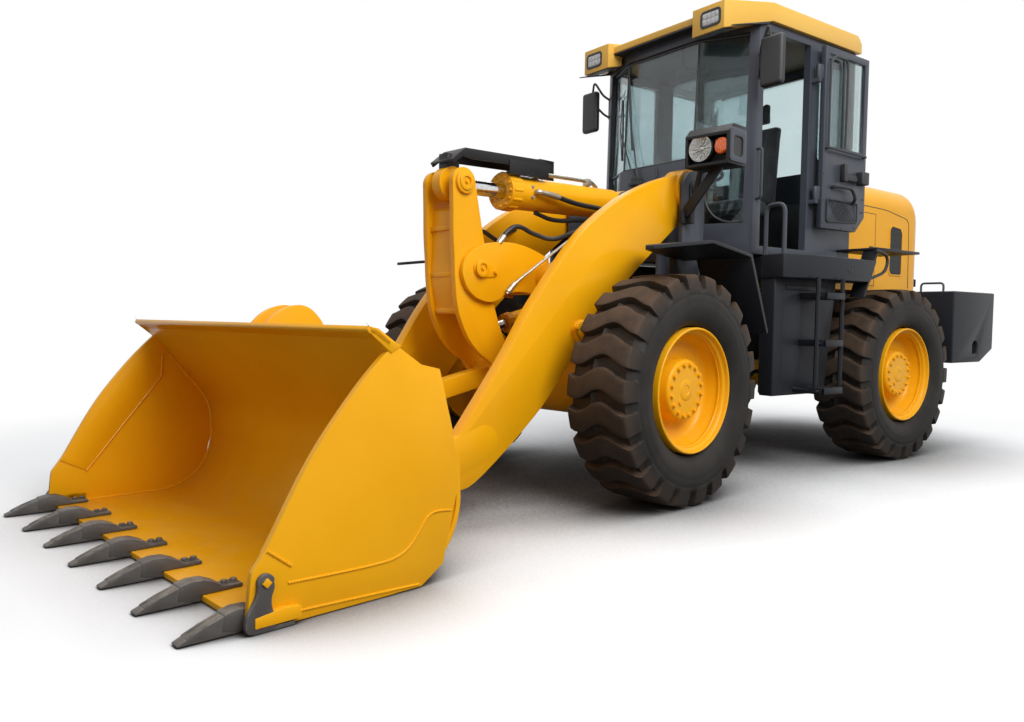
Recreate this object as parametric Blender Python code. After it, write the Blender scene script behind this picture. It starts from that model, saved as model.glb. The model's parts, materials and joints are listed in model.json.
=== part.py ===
# Articulated wheel loader with a Z-bar linkage, parked with its bucket on the ground.
# Metres, +X forward, +Y left, +Z up. The origin is on the ground, under the middle of the machine's box.
# The layout below is measured from the articulation pivot: +X forward of the rear frame,
# and for the front frame, forward of that frame before it is steered.

from math import atan2, cos, degrees, pi, radians, sin

import bmesh
import bpy
from mathutils import Matrix, Vector

# Driving dimensions

wheelbase = 2.85
track = 1.865
tyre_radius = 0.675
tyre_width = 0.445
steered_at_rest = radians(7.28)

bucket_half_width = 1.2
bucket_edge_x = 4.16
bucket_back_x = 3.255
tooth_tip_x = 4.4
counterweight_half_width = 1.15
counterweight_depth = 0.745
tyre_clearance = 0.025
rear_axle_x = -wheelbase / 2
counterweight_front_x = rear_axle_x - tyre_radius - tyre_clearance
counterweight_rear_x = counterweight_front_x - counterweight_depth
cab_half_width = 0.76
cab_front_x = 0.24
cab_rear_x = -1.16
cab_floor_z = 1.56
cab_top_z = 3.2
roof_top_z = 3.33

# Pins of the linkage in the side view, as (x, z), and of the steering in plan, as (x, y)

boom_pin = (0.70, 1.96)
bucket_pin = (3.05, 0.24)
crank_pin = (2.24, 1.366)
crank_top_pin = (2.34, 1.86)
crank_low_pin = (1.97, 0.74)
link_pin = (3.15, 0.50)
tilt_frame_pin = (0.74, 1.90)
lift_frame_pin = (0.56, 1.30)
lift_boom_pin = (1.76, 1.0)
steer_rear_pin = (-0.62, 0.44)
steer_front_pin = (0.38, 0.30)
steer_cylinder_z = 0.74

# Sizes that many pieces share

gap = 0.0003
slide_play = 0.0006
side_play = 0.005
overrun = 0.02
sheet = 0.012
plate = 0.03
pin_radius = 0.045
round_steps = 16
bore_steps = 20

# Materials

finishes = {}


def finish(name, red, green, blue, roughness, metallic=0.0, alpha=1.0):
    made = bpy.data.materials.new(name)
    made.use_nodes = True
    shader = made.node_tree.nodes["Principled BSDF"]
    shader.inputs["Base Color"].default_value = (red, green, blue, 1.0)
    shader.inputs["Roughness"].default_value = roughness
    shader.inputs["Metallic"].default_value = metallic
    shader.inputs["Alpha"].default_value = alpha
    finishes[name] = made


def set_finishes():
    finish("yellow_paint", 0.85, 0.42, 0.01, 0.35)
    finish("roof_paint", 0.80, 0.48, 0.10, 0.4)
    finish("grey_paint", 0.045, 0.05, 0.065, 0.45)
    finish("black_paint", 0.02, 0.02, 0.022, 0.5)
    finish("tooth_steel", 0.09, 0.08, 0.075, 0.6, 0.5)
    finish("chrome", 0.75, 0.75, 0.76, 0.12, 1.0)
    finish("tyre_rubber", 0.06, 0.045, 0.038, 0.85)
    finish("glass", 0.25, 0.42, 0.45, 0.05, 0.0, 0.35)
    finish("cast_iron", 0.1, 0.1, 0.1, 0.6, 0.6)
    finish("seat_fabric", 0.03, 0.03, 0.035, 0.9)


def clear_scene():
    for thing in list(bpy.data.objects):
        bpy.data.objects.remove(thing, do_unlink=True)


# Carriers: each is an empty, and what it carries is drawn in the layout's coordinates


class Carrier:
    def __init__(self, name, at=(0, 0, 0), parent=None, turn=0.0):
        self.at = Vector(at)
        self.empty = bpy.data.objects.new(name, None)
        bpy.context.scene.collection.objects.link(self.empty)
        self.empty.rotation_euler = (0, 0, turn)
        self.empty.location = self.at
        if parent:
            self.empty.parent = parent.empty
            self.empty.location = self.at - parent.at


def pinned(name, pin, parent, y=0.0):
    return Carrier(name, (pin[0], y, pin[1]), parent)


def placed(name, bm, carrier, material=None, smooth=False):
    # An object whose mesh was drawn in layout coordinates, hung on its carrier
    bmesh.ops.translate(bm, vec=-carrier.at, verts=bm.verts)
    bmesh.ops.recalc_face_normals(bm, faces=bm.faces)
    mesh = bpy.data.meshes.new(name)
    bm.to_mesh(mesh)
    bm.free()
    if smooth:
        mesh.shade_smooth()
        mesh.set_sharp_from_angle(angle=radians(35))
    made = bpy.data.objects.new(name, mesh)
    bpy.context.scene.collection.objects.link(made)
    made.parent = carrier.empty
    if material:
        mesh.materials.append(finishes[material])
    return made


def node(name, carrier, material, shapes, cuts=(), smooth=False):
    # One solid: the first shape joined with the others, and then cut
    made = placed(name, shapes[0], carrier, material, smooth)
    for label, helpers, operation in (("add", shapes[1:], "UNION"), ("cut", cuts, "DIFFERENCE")):
        if not helpers:
            continue
        group = bpy.data.collections.new(f"{name}_{label}")
        for number, helper in enumerate(helpers):
            piece = placed(f"{name}_{label}_{number}", helper, carrier)
            piece.hide_render = True
            piece.display_type = "WIRE"
            group.objects.link(piece)
        boolean = made.modifiers.new(label, "BOOLEAN")
        boolean.operation = operation
        boolean.solver = "EXACT"
        boolean.operand_type = "COLLECTION"
        boolean.collection = group
    return made


# Shapes


def prism(outline, low, high, axis="Y"):
    # An outline of two coordinates, pushed along the third axis
    put = {
        "X": lambda a, b, c: (c, a, b),
        "Y": lambda a, b, c: (a, c, b),
        "Z": lambda a, b, c: (a, b, c),
    }[axis]
    bm = bmesh.new()
    base = bm.faces.new([bm.verts.new(put(a, b, low)) for a, b in outline])
    pushed = bmesh.ops.extrude_face_region(bm, geom=[base])
    moved = [item for item in pushed["geom"] if isinstance(item, bmesh.types.BMVert)]
    bmesh.ops.translate(bm, vec=Vector(put(0, 0, high - low)), verts=moved)
    return bm


def box(x, y, z):
    return prism([(x[0], z[0]), (x[1], z[0]), (x[1], z[1]), (x[0], z[1])], y[0], y[1])


def rod(start, end, radius, steps=round_steps):
    start, end = Vector(start), Vector(end)
    along = end - start
    turn = along.to_track_quat("Z", "Y").to_matrix().to_4x4()
    bm = bmesh.new()
    bmesh.ops.create_cone(
        bm,
        cap_ends=True,
        segments=steps,
        radius1=radius,
        radius2=radius,
        depth=along.length,
        matrix=Matrix.Translation((start + end) / 2) @ turn,
    )
    return bm


def cross_rod(pin, low, high, radius, steps=round_steps):
    return rod((pin[0], low, pin[1]), (pin[0], high, pin[1]), radius, steps)


def bore_radius(pin):
    # A faceted bore whose flats clear the pin however it turns
    return (pin + gap) / cos(pi / bore_steps)


def turned(profile, centre, axis, steps):
    # A closed profile of (distance along the axis, radius), turned about that axis
    bm = bmesh.new()
    verts = [bm.verts.new((along, 0, radius)) for along, radius in profile]
    edges = [bm.edges.new((verts[i - 1], verts[i])) for i in range(len(verts))]
    bmesh.ops.spin(
        bm, geom=verts + edges, cent=(0, 0, 0), axis=(1, 0, 0), angle=2 * pi, steps=steps, use_merge=True
    )
    bmesh.ops.remove_doubles(bm, verts=bm.verts, dist=gap / 10)
    bmesh.ops.delete(bm, geom=[edge for edge in bm.edges if not edge.link_faces], context="EDGES")
    turn = Vector((1, 0, 0)).rotation_difference(Vector(axis)).to_matrix().to_4x4()
    bmesh.ops.transform(bm, matrix=Matrix.Translation(centre) @ turn, verts=bm.verts)
    return bm


def loft(sections):
    # Sections of (z, plan outline), with as many points in each
    bm = bmesh.new()
    rings = [[bm.verts.new((x, y, z)) for x, y in plan] for z, plan in sections]
    for low, high in zip(rings, rings[1:]):
        for i in range(len(low)):
            bm.faces.new((low[i - 1], low[i], high[i], high[i - 1]))
    bm.faces.new(rings[0])
    bm.faces.new(rings[-1])
    return bm


def arc(centre, radius, first, last, steps):
    angles = [radians(first + (last - first) * i / steps) for i in range(steps + 1)]
    return [(centre[0] + radius * cos(a), centre[1] + radius * sin(a)) for a in angles]


def bar(start, end, half, low, high, axis="Y", steps=6):
    # A flat bar with round ends, from one pin to another
    heading = degrees(atan2(end[1] - start[1], end[0] - start[0]))
    outline = arc(start, half, heading + 90, heading + 270, steps)
    return prism(outline + arc(end, half, heading - 90, heading + 90, steps), low, high, axis)


def along_line(start, end, places):
    # Places of (share along the line, share across it) from start to end, across being above the line
    run, rise = end[0] - start[0], end[1] - start[1]
    return [(start[0] + a * run - b * rise, start[1] + a * rise + b * run) for a, b in places]


def mirrored(shape):
    bmesh.ops.scale(shape, vec=(1, -1, 1), verts=shape.verts)
    bmesh.ops.reverse_faces(shape, faces=shape.faces)
    return shape


def sided(shape, side):
    return shape if side > 0 else mirrored(shape)


def both(make):
    # The shape that a function makes, on the left and on the right
    return [make(), mirrored(make())]


sides = (("left", 1), ("right", -1))

# Tyres and rims

lug_count = 22
lug_share = 0.62
lug_sweep_share = 0.17
wave_start_share = 0.15
wave_length_share = 0.85
tyre_rows_share = (
    # place across, groove radius and lug radius
    (0.56, 0.545, 0.545),
    (1.0, 0.79, 0.79),
    (0.92, 0.925, 0.98),
    (0.5, 0.955, 1.0),
    (0.12, 0.955, 1.0),
)
first_lug_row = 2
rim_steps = 20
rim_half = 0.2
rim_wall = 0.014
rim_seat = tyre_radius * tyre_rows_share[0][1] * cos(pi * lug_share / lug_count)
rim_flange = 0.03
disc_place = 0.03
disc_thick = 0.025
hub_radius = 0.165
hub_face = 0.13
hub_neck = 0.09


def lug_lean(share):
    # A lug waves as it runs across the tread, by this share of its pitch
    return lug_sweep_share * cos(pi * (share - wave_start_share) / wave_length_share)


def tyre_ring():
    rows = list(tyre_rows_share) + [(-across, low, high) for across, low, high in reversed(tyre_rows_share)]
    leans = [lug_lean(row[0]) for row in rows]
    bare = range(first_lug_row)
    for row in bare:
        leans[row] = leans[-1 - row] = 0.0
    half = tyre_width / 2
    return [
        (across * half, groove * tyre_radius, crown * tyre_radius, lean)
        for (across, groove, crown), lean in zip(rows, leans)
    ]


def make_tyre(name, carrier, side):
    # A ring of rows, with every other band of the tread pushed out as a lug from edge to edge
    rows = tyre_ring()
    steps = 2 * lug_count
    bm = bmesh.new()

    def spot(row, step):
        across, groove, crown, lean = rows[row]
        angle = (step // 2 + lug_share * (step % 2) + lean) * 2 * pi / lug_count
        return bm.verts.new((groove * cos(angle), across, groove * sin(angle)))

    grid = [[spot(row, step) for step in range(steps)] for row in range(len(rows))]
    faces = {}
    for row in range(len(rows)):
        for step in range(steps):
            corners = ((row - 1, step), (row - 1, step - 1), (row, step - 1), (row, step))
            faces[row, step] = bm.faces.new([grid[r][s] for r, s in corners])
    bmesh.ops.recalc_face_normals(bm, faces=bm.faces)
    span = range(first_lug_row + 1, len(rows) - first_lug_row)
    for step in range(1, steps, 2):
        lug = [faces[row, step] for row in span]
        raised = bmesh.ops.extrude_face_region(bm, geom=lug)
        bmesh.ops.delete(bm, geom=lug, context="FACES_ONLY")
        for item in raised["geom"]:
            if isinstance(item, bmesh.types.BMVert):
                row = min(rows, key=lambda r: abs(item.co.y - r[0]))
                item.co.x *= row[2] / row[1]
                item.co.z *= row[2] / row[1]
    bm = sided(bm, side)
    bmesh.ops.translate(bm, vec=carrier.at, verts=bm.verts)
    return placed(name, bm, carrier, "tyre_rubber", smooth=True)


def make_rim(name, carrier, side):
    # Barrel with a flange, a disc towards its outer side, and the planetary hub
    seat = rim_seat - gap
    inner = seat - rim_wall
    profile = [
        (-rim_half, inner),
        (-rim_half, seat),
        (rim_half, seat),
        (rim_half, inner),
        (disc_place + 2 * disc_thick, inner - rim_wall),
        (disc_place, hub_radius + disc_thick),
        (disc_place, hub_radius),
        (hub_face, hub_radius - disc_thick / 2),
        (hub_face, hub_neck),
        (hub_face + disc_thick, hub_neck),
        (hub_face + disc_thick, 0.0),
        (-rim_half / 2, 0.0),
        (-rim_half / 2, hub_neck),
        (disc_place - disc_thick, hub_radius),
        (disc_place - disc_thick, hub_radius + 2 * disc_thick),
        (disc_place + disc_thick, inner - rim_wall),
    ]
    wheel = turned(profile, carrier.at, (0, side, 0), rim_steps)
    return node(name, carrier, "yellow_paint", [wheel], smooth=True)


def make_wheels(rear, front):
    for end, axle_x, carrier in (("front", wheelbase / 2, front), ("rear", -wheelbase / 2, rear)):
        for label, side in sides:
            hub = Carrier(f"{end}_{label}_wheel_axis", (axle_x, side * track / 2, tyre_radius), carrier)
            make_tyre(f"tyre_{end}_{label}", hub, side)
            make_rim(f"rim_{end}_{label}", hub, side)


axle_radius = 0.12
axle_neck = 0.085
diff_radius = 0.215
diff_half = 0.17
axle_end = track / 2 - rim_half / 2 - gap
axle_hub_length = 0.11
axle_collar = axle_end - axle_hub_length
diff_slope_end = 0.37


def make_axle(name, carrier, axle_x):
    half = [
        (diff_half, diff_radius),
        (diff_slope_end, axle_radius),
        (axle_collar, axle_radius),
        (axle_collar + overrun, axle_neck),
        (axle_end, axle_neck),
        (axle_end, 0.0),
    ]
    profile = half + [(-along, radius) for along, radius in reversed(half)]
    housing = turned(profile, (axle_x, 0, tyre_radius), (0, 1, 0), round_steps)
    return node(name, carrier, "yellow_paint", [housing], smooth=True)


# Rear frame and what it carries

frame_half = 0.36
beam_low_z = 0.94
beam_high_z = 1.22
beam_front_x = -0.5
beam_wide_x = -0.86
nose_half = 0.28
beam_seat = 0.175
beam_rear_x = counterweight_front_x - beam_seat
belly_z = 0.8
belly_rear_x = -1.02
neck_half = 0.15
neck_x = -0.27
hinge_nose = 0.14
hinge_low_z = 0.56
hinge_high_z = 1.3
hinge_plate = 0.05
hinge_pin_radius = 0.06
saddle_half = 0.17
steer_ear = 0.07
cab_mount_x = ((-1.06, -0.94), (-0.66, -0.54))
cab_mount_y = (0.14, 0.26)


def hinge_plan(heading, root_x, root_half):
    # A plate with a round nose on the pivot that widens towards its frame
    nose = arc((0, 0), hinge_nose, 90 * heading, 90 * heading - 180, 6)
    return nose + [(root_x, -root_half * heading), (root_x, root_half * heading)]


def steer_ears(pin, root):
    # Lugs above and below a steering cylinder's end, cantilevered from the frame
    reach = eye_half + side_play
    plates = []
    for low in (steer_cylinder_z - reach - plate, steer_cylinder_z + reach):
        plates += both(lambda: bar(root, pin, steer_ear, low, low + plate, "Z"))
    return plates


def make_rear_frame(carrier):
    nose_view = [
        (beam_front_x, hinge_low_z),
        (beam_front_x, hinge_high_z + hinge_plate),
        (beam_wide_x - overrun, beam_high_z),
        (beam_wide_x - overrun, belly_z),
    ]
    beam_view = [
        (beam_wide_x, belly_z),
        (beam_wide_x, beam_high_z),
        (beam_rear_x, beam_high_z),
        (beam_rear_x, beam_low_z),
        (belly_rear_x, beam_low_z),
        (belly_rear_x, belly_z),
    ]
    chassis = prism(beam_view, -frame_half, frame_half)
    nose = prism(nose_view, -nose_half, nose_half)
    neck = box(
        (beam_front_x - overrun, neck_x), (-neck_half, neck_half), (hinge_low_z, hinge_high_z + hinge_plate)
    )
    plates = []
    for low in (hinge_low_z, hinge_high_z):
        plan = hinge_plan(1, beam_front_x - overrun, nose_half)
        plates.append(prism(plan, low, low + hinge_plate, "Z"))
    pins = []
    for low in (hinge_low_z, hinge_high_z - hinge_plate - side_play):
        top = low + 2 * hinge_plate + side_play
        pins.append(rod((0, 0, low), (0, 0, top), hinge_pin_radius))
    saddle = box(
        (rear_axle_x - saddle_half, rear_axle_x + saddle_half),
        (-frame_half, frame_half),
        (tyre_radius + diff_radius + gap, beam_low_z + overrun),
    )
    reach = eye_half + side_play + plate
    foot, head = (*steer_rear_pin, steer_cylinder_z - reach), (*steer_rear_pin, steer_cylinder_z + reach)
    pins += both(lambda: rod(foot, head, pin_radius))
    mounts = []
    for x in cab_mount_x:
        mounts += both(lambda: box(x, cab_mount_y, (beam_high_z - 2 * overrun, cab_floor_z - gap)))
    ears = steer_ears(steer_rear_pin, (steer_rear_pin[0], nose_half - steer_ear))
    node("rear_frame", carrier, "black_paint", [chassis, nose, neck, saddle] + plates + pins + ears + mounts)


counterweight_z = (0.75, 1.355)
counterweight_chamfer = (0.23, 0.11)
slot_setback = 0.41
slot_x = counterweight_front_x - slot_setback
slot_half = 0.045
slot_low_z = 0.82
slot_high_z = 0.89
slot_depth = 0.06
engine_x = (-2.1, -1.3)
engine_half = 0.31
engine_high_z = 1.95


def make_rear_masses(carrier):
    make_axle("rear_axle", carrier, rear_axle_x)
    block = box(engine_x, (-engine_half, engine_half), (beam_high_z + gap, engine_high_z))
    node("engine_block", carrier, "cast_iron", [block])
    low, high = counterweight_z
    side_view = [
        (counterweight_front_x, low),
        (counterweight_rear_x + counterweight_chamfer[0], low),
        (counterweight_rear_x, low + counterweight_chamfer[1]),
        (counterweight_rear_x, high),
        (counterweight_front_x, high),
    ]
    weight = prism(side_view, -counterweight_half_width, counterweight_half_width)
    pocket = box(
        (beam_rear_x - gap, counterweight_front_x + overrun),
        (-frame_half - gap, frame_half + gap),
        (low - overrun, beam_high_z + gap),
    )
    slot_view = arc((slot_x, slot_high_z), slot_half, 0, 180, 6)
    slot_view += [(slot_x - slot_half, slot_low_z), (slot_x + slot_half, slot_low_z)]
    across = (counterweight_half_width - slot_depth, counterweight_half_width + overrun)
    slots = both(lambda: prism(slot_view, *across))
    node("counterweight", carrier, "grey_paint", [weight], [pocket] + slots)


hood_half = 0.585
hood_wall = 0.02
hood_low_z = counterweight_z[1] + gap
hood_step = 0.04
hood_front_x = cab_rear_x - hood_step
hood_overhang = 0.515
hood_rear_x = counterweight_front_x - hood_overhang
hood_high_z = 2.29
hood_fall = (0.5, 0.16)
hood_corner = 0.1
hood_shoulder_z = 2.08
hood_shoulder_rear_z = 1.96
hood_crown_half = 0.42
vent_setback = 0.2
vent_lead = 0.03
vent_x = (counterweight_front_x - vent_setback, counterweight_front_x + vent_lead)
vent_z = (1.5, 1.95)
vent_chamfer = 0.03
grille_half = 0.4
grille_z = (1.5, 1.9)
grille_bar_count = 9
grille_depth = 0.03


def hood_profile(inset, low, front):
    # Level top that falls away to a rounded rear corner
    high, rear = hood_high_z - inset, hood_rear_x + inset
    fall = high - hood_fall[1]
    corner = arc((rear + hood_corner, fall - hood_corner), hood_corner, 60, 180, 5)
    return [(front, low), (front, high), (rear + hood_fall[0], high)] + corner + [(rear, low)]


def hood_shoulder():
    # What slopes the top's side down to the flank, lower towards the rear
    reach = 2 * hood_half
    above = (hood_crown_half, reach + hood_high_z)
    near = [(hood_half, hood_shoulder_z), (hood_crown_half, hood_high_z), above]
    far = [(hood_half, hood_shoulder_rear_z), (hood_crown_half, hood_high_z - hood_fall[1]), above]
    bm = bmesh.new()
    rings = []
    for x, view in ((hood_front_x + overrun, near), (hood_rear_x - overrun, far)):
        outer = [(reach, reach + hood_high_z), (reach, view[0][1])]
        rings.append([bm.verts.new((x, y, z)) for y, z in view + outer])
    for i in range(len(rings[0])):
        bm.faces.new((rings[0][i - 1], rings[0][i], rings[1][i], rings[1][i - 1]))
    bm.faces.new(rings[0])
    bm.faces.new(rings[1])
    return bm


def make_hood(carrier):
    outer = prism(hood_profile(0, hood_low_z, hood_front_x), -hood_half, hood_half)
    inner_half = hood_half - hood_wall
    wide = box(
        (hood_rear_x + hood_wall, hood_front_x + overrun),
        (-inner_half, inner_half),
        (hood_low_z - overrun, hood_shoulder_rear_z - 2 * hood_wall),
    )
    crown = hood_profile(3 * hood_wall, hood_low_z - overrun, hood_front_x + overrun)
    crown_half = hood_crown_half - 3 * hood_wall
    narrow = prism(crown, -crown_half, crown_half)
    rear = (hood_rear_x - overrun, hood_rear_x + hood_wall + overrun)
    opening = box(rear, (-grille_half, grille_half), grille_z)
    vent_view = [
        (vent_x[0] + vent_chamfer, vent_z[0]),
        (vent_x[1] - vent_chamfer, vent_z[0]),
        (vent_x[1], vent_z[0] + vent_chamfer),
        (vent_x[1], vent_z[1] - vent_chamfer),
        (vent_x[1] - vent_chamfer, vent_z[1]),
        (vent_x[0] + vent_chamfer, vent_z[1] - vent_chamfer / 2),
        (vent_x[0], vent_z[1] - 2 * vent_chamfer),
        (vent_x[0], vent_z[0] + vent_chamfer),
    ]
    vents = both(lambda: prism(vent_view, inner_half - overrun, hood_half + overrun))
    cuts = [wide, narrow, opening] + vents + both(hood_shoulder)
    node("hood", carrier, "yellow_paint", [outer], cuts)
    frame = box(
        (hood_rear_x, hood_rear_x + grille_depth),
        (-grille_half + gap, grille_half - gap),
        (grille_z[0] + gap, grille_z[1] - gap),
    )
    step = (grille_z[1] - grille_z[0]) / (grille_bar_count + 1)
    slots = []
    for number in range(grille_bar_count):
        middle = grille_z[0] + step * (number + 1)
        half = step / 4
        slots.append(box(rear, (-grille_half + step, grille_half - step), (middle - half, middle + half)))
    node("rear_grille", carrier, "black_paint", [frame], slots)


deck_front_x = 0.11
deck_rear_x = -0.95
deck_y = (0.6, 1.12)
deck_z = (1.38, 1.545)
deck_slant = 0.485
deck_notch_x = -0.03
deck_notch_y = 0.865
deck_facet = ((0.11, 1.05), (-0.16, 1.12))
tank_clearance = 0.22
tank_x = (rear_axle_x + tyre_radius + tank_clearance, 0.10)
tank_y = (0.76, 0.98)
tank_z = (0.56, deck_z[0] + overrun)
tank_lean = 0.12
tank_bracket_x = (-0.64, -0.54)
tank_bracket_z = (1.0, 1.2)
ladder_x = (-0.45, -0.15)
ladder_y = 1.15
ladder_rail = 0.016
step_x = (-0.43, -0.19)
step_y = (tank_y[1] - overrun, 1.19)
step_z = (0.575, 0.91, 1.24)
step_thick = 0.045
rail_height = 0.34
rail_x = 0.085
rail_y = (0.88, 1.03)
fender_sheet = 0.02
rear_fender_x = (-1.62, -0.98)
rear_fender_y = (cab_half_width + side_play, 1.1)
rear_fender_z = 1.63
strut_inner_y = 0.98
strut_low_z = 1.27


def make_side(carrier, label, side):
    # Deck with the tank under it, steps and hoop rail, then the fender behind
    slant = deck_slant * (deck_z[1] - deck_z[0])
    deck = prism(
        [
            (deck_rear_x + slant, deck_z[0]),
            (deck_front_x, deck_z[0]),
            (deck_front_x, deck_z[1]),
            (deck_rear_x, deck_z[1]),
        ],
        *deck_y,
    )
    tank = prism(
        [
            (tank_x[0], tank_z[0]),
            (tank_x[1], tank_z[0]),
            (tank_x[1], tank_z[1]),
            (tank_x[0] - tank_lean, tank_z[1]),
        ],
        *tank_y,
    )
    bracket = box(tank_bracket_x, (nose_half + gap, tank_y[0] + overrun), tank_bracket_z)
    shapes = [deck, tank, bracket]
    for x in ladder_x:
        head = deck_z[0] + overrun
        shapes.append(rod((x, ladder_y, step_z[0]), (x, ladder_y, head), ladder_rail, 8))
        foot = step_z[0] + overrun
        shapes.append(rod((x, ladder_y, foot), (x, tank_y[1] - overrun, foot), ladder_rail, 8))
    for z in step_z:
        shapes.append(box(step_x, step_y, (z, z + step_thick)))
        tie = z + step_thick / 2
        shapes.append(rod((ladder_x[0], ladder_y, tie), (ladder_x[1], ladder_y, tie), ladder_rail / 2, 6))
    top = deck_z[1] + rail_height
    for y in rail_y:
        shapes.append(rod((rail_x, y, deck_z[0] + overrun), (rail_x, y, top), ladder_rail, 8))
    ends = [y + offset for y, offset in zip(rail_y, (-ladder_rail, ladder_rail))]
    shapes.append(rod((rail_x, ends[0], top), (rail_x, ends[1], top), ladder_rail, 8))
    edge = (deck_z[0] - overrun, deck_z[1] + overrun)
    swept = (tank_z[0] - overrun, edge[1])
    notch = box((deck_notch_x, deck_front_x + overrun), (deck_y[0] - overrun, deck_notch_y), swept)
    (near_x, near_y), (far_x, far_y) = deck_facet
    wedge_plan = [
        (near_x + overrun, near_y),
        (near_x, near_y),
        (far_x, far_y),
        (far_x, far_y + overrun),
        (near_x + overrun, far_y + overrun),
    ]
    shapes = [sided(shape, side) for shape in shapes]
    cuts = [sided(cut, side) for cut in (notch, prism(wedge_plan, *edge, "Z"))]
    node(f"deck_{label}", carrier, "grey_paint", shapes, cuts)
    flat = (rear_fender_z, rear_fender_z + fender_sheet)
    fender = box(rear_fender_x, rear_fender_y, flat)
    rear_of = {z: deck_rear_x - gap + deck_slant * (deck_z[1] - z) for z in (flat[1], strut_low_z)}
    strut = prism(
        [
            (rear_of[flat[1]], flat[1]),
            (rear_of[flat[1]] - fender_sheet, flat[1]),
            (rear_of[strut_low_z] - fender_sheet, strut_low_z),
            (rear_of[strut_low_z], strut_low_z),
        ],
        strut_inner_y,
        rear_fender_y[1],
    )
    node(f"rear_fender_{label}", carrier, "grey_paint", [sided(fender, side), sided(strut, side)])


cab_wall = 0.055
cab_facet_half = 0.37
cab_pillar_x = 0.05
cab_lean = 0.07
sill_front_z = 2.26
sill_quarter_z = 1.78
sill_rear_z = 2.3
window_top_z = 3.12
pillar = 0.06
door_x = (-0.56, -0.005)
door_sill = 0.06
door_z = (cab_floor_z + door_sill, 3.14)
side_window_x = (-1.08, -0.68)
rear_window_half = 0.6
glass_thick = 0.006
cab_floor = 0.05
door_thick = 0.04
hinge_setback = 0.04
door_hinge = (door_x[0] - hinge_setback, cab_half_width + door_thick + side_play)
door_setback = 0.03
door_width = 0.59
door_low_z = 1.79
door_frame = 0.05
door_bar_z = 2.36
door_chamfer = 0.12
knuckle_z = (2.0, 2.9)
knuckle_rise = 0.1
knuckle_arm = 0.03
knuckle_radius = 0.02
knuckle_pin = 0.01


def cab_plan(inset, lean):
    # Flat front facet, two angled quarters back to the pillars, then straight sides
    side = cab_half_width - inset
    front = cab_front_x + lean - inset
    corner = cab_pillar_x + lean / 2 - inset
    rear = cab_rear_x + inset
    facet = cab_facet_half - inset / 2
    half = [(front, facet), (corner, side), (rear, side)]
    return half + [(x, -y) for x, y in reversed(half)]


def hinge_bracket(z):
    # Arm on the cab's side with the pin that a knuckle of the door turns on
    arm = box(
        (door_hinge[0] - knuckle_radius, door_hinge[0] + knuckle_radius),
        (cab_half_width - overrun, door_hinge[1] + knuckle_radius),
        (z - knuckle_arm, z - gap),
    )
    pin = rod((*door_hinge, z - knuckle_arm), (*door_hinge, z + knuckle_rise), knuckle_pin, 10)
    return [arm, pin]


def make_cab(carrier):
    outer = loft([(cab_floor_z, cab_plan(0, cab_lean)), (cab_top_z, cab_plan(0, 0))])
    inner = loft(
        [(cab_floor_z + cab_floor, cab_plan(cab_wall, cab_lean)), (cab_top_z + overrun, cab_plan(cab_wall, 0))]
    )
    ahead = cab_front_x + cab_lean + overrun
    screen_half = cab_half_width - pillar
    front = box(
        (cab_pillar_x - overrun, ahead), (-screen_half, screen_half), (sill_front_z, window_top_z)
    )
    quarters = both(
        lambda: box(
            (cab_pillar_x - overrun, ahead),
            (cab_facet_half + pillar, cab_half_width - pillar),
            (sill_quarter_z, window_top_z),
        )
    )
    across = (cab_half_width - cab_wall - overrun, cab_half_width + overrun)
    doorway = box(door_x, across, door_z)
    window = mirrored(box((door_x[0] + pillar, door_x[1]), across, (sill_rear_z - pillar, window_top_z)))
    side_windows = both(lambda: box(side_window_x, across, (sill_rear_z, window_top_z)))
    back = box(
        (cab_rear_x - overrun, cab_rear_x + cab_wall + overrun),
        (-rear_window_half, rear_window_half),
        (sill_rear_z, window_top_z),
    )
    cuts = [inner, front, doorway, window, back] + quarters + side_windows
    brackets = [shape for z in knuckle_z for shape in hinge_bracket(z)]
    node("cab_shell", carrier, "grey_paint", [outer] + brackets, cuts)
    make_cab_glass(carrier)


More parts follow.
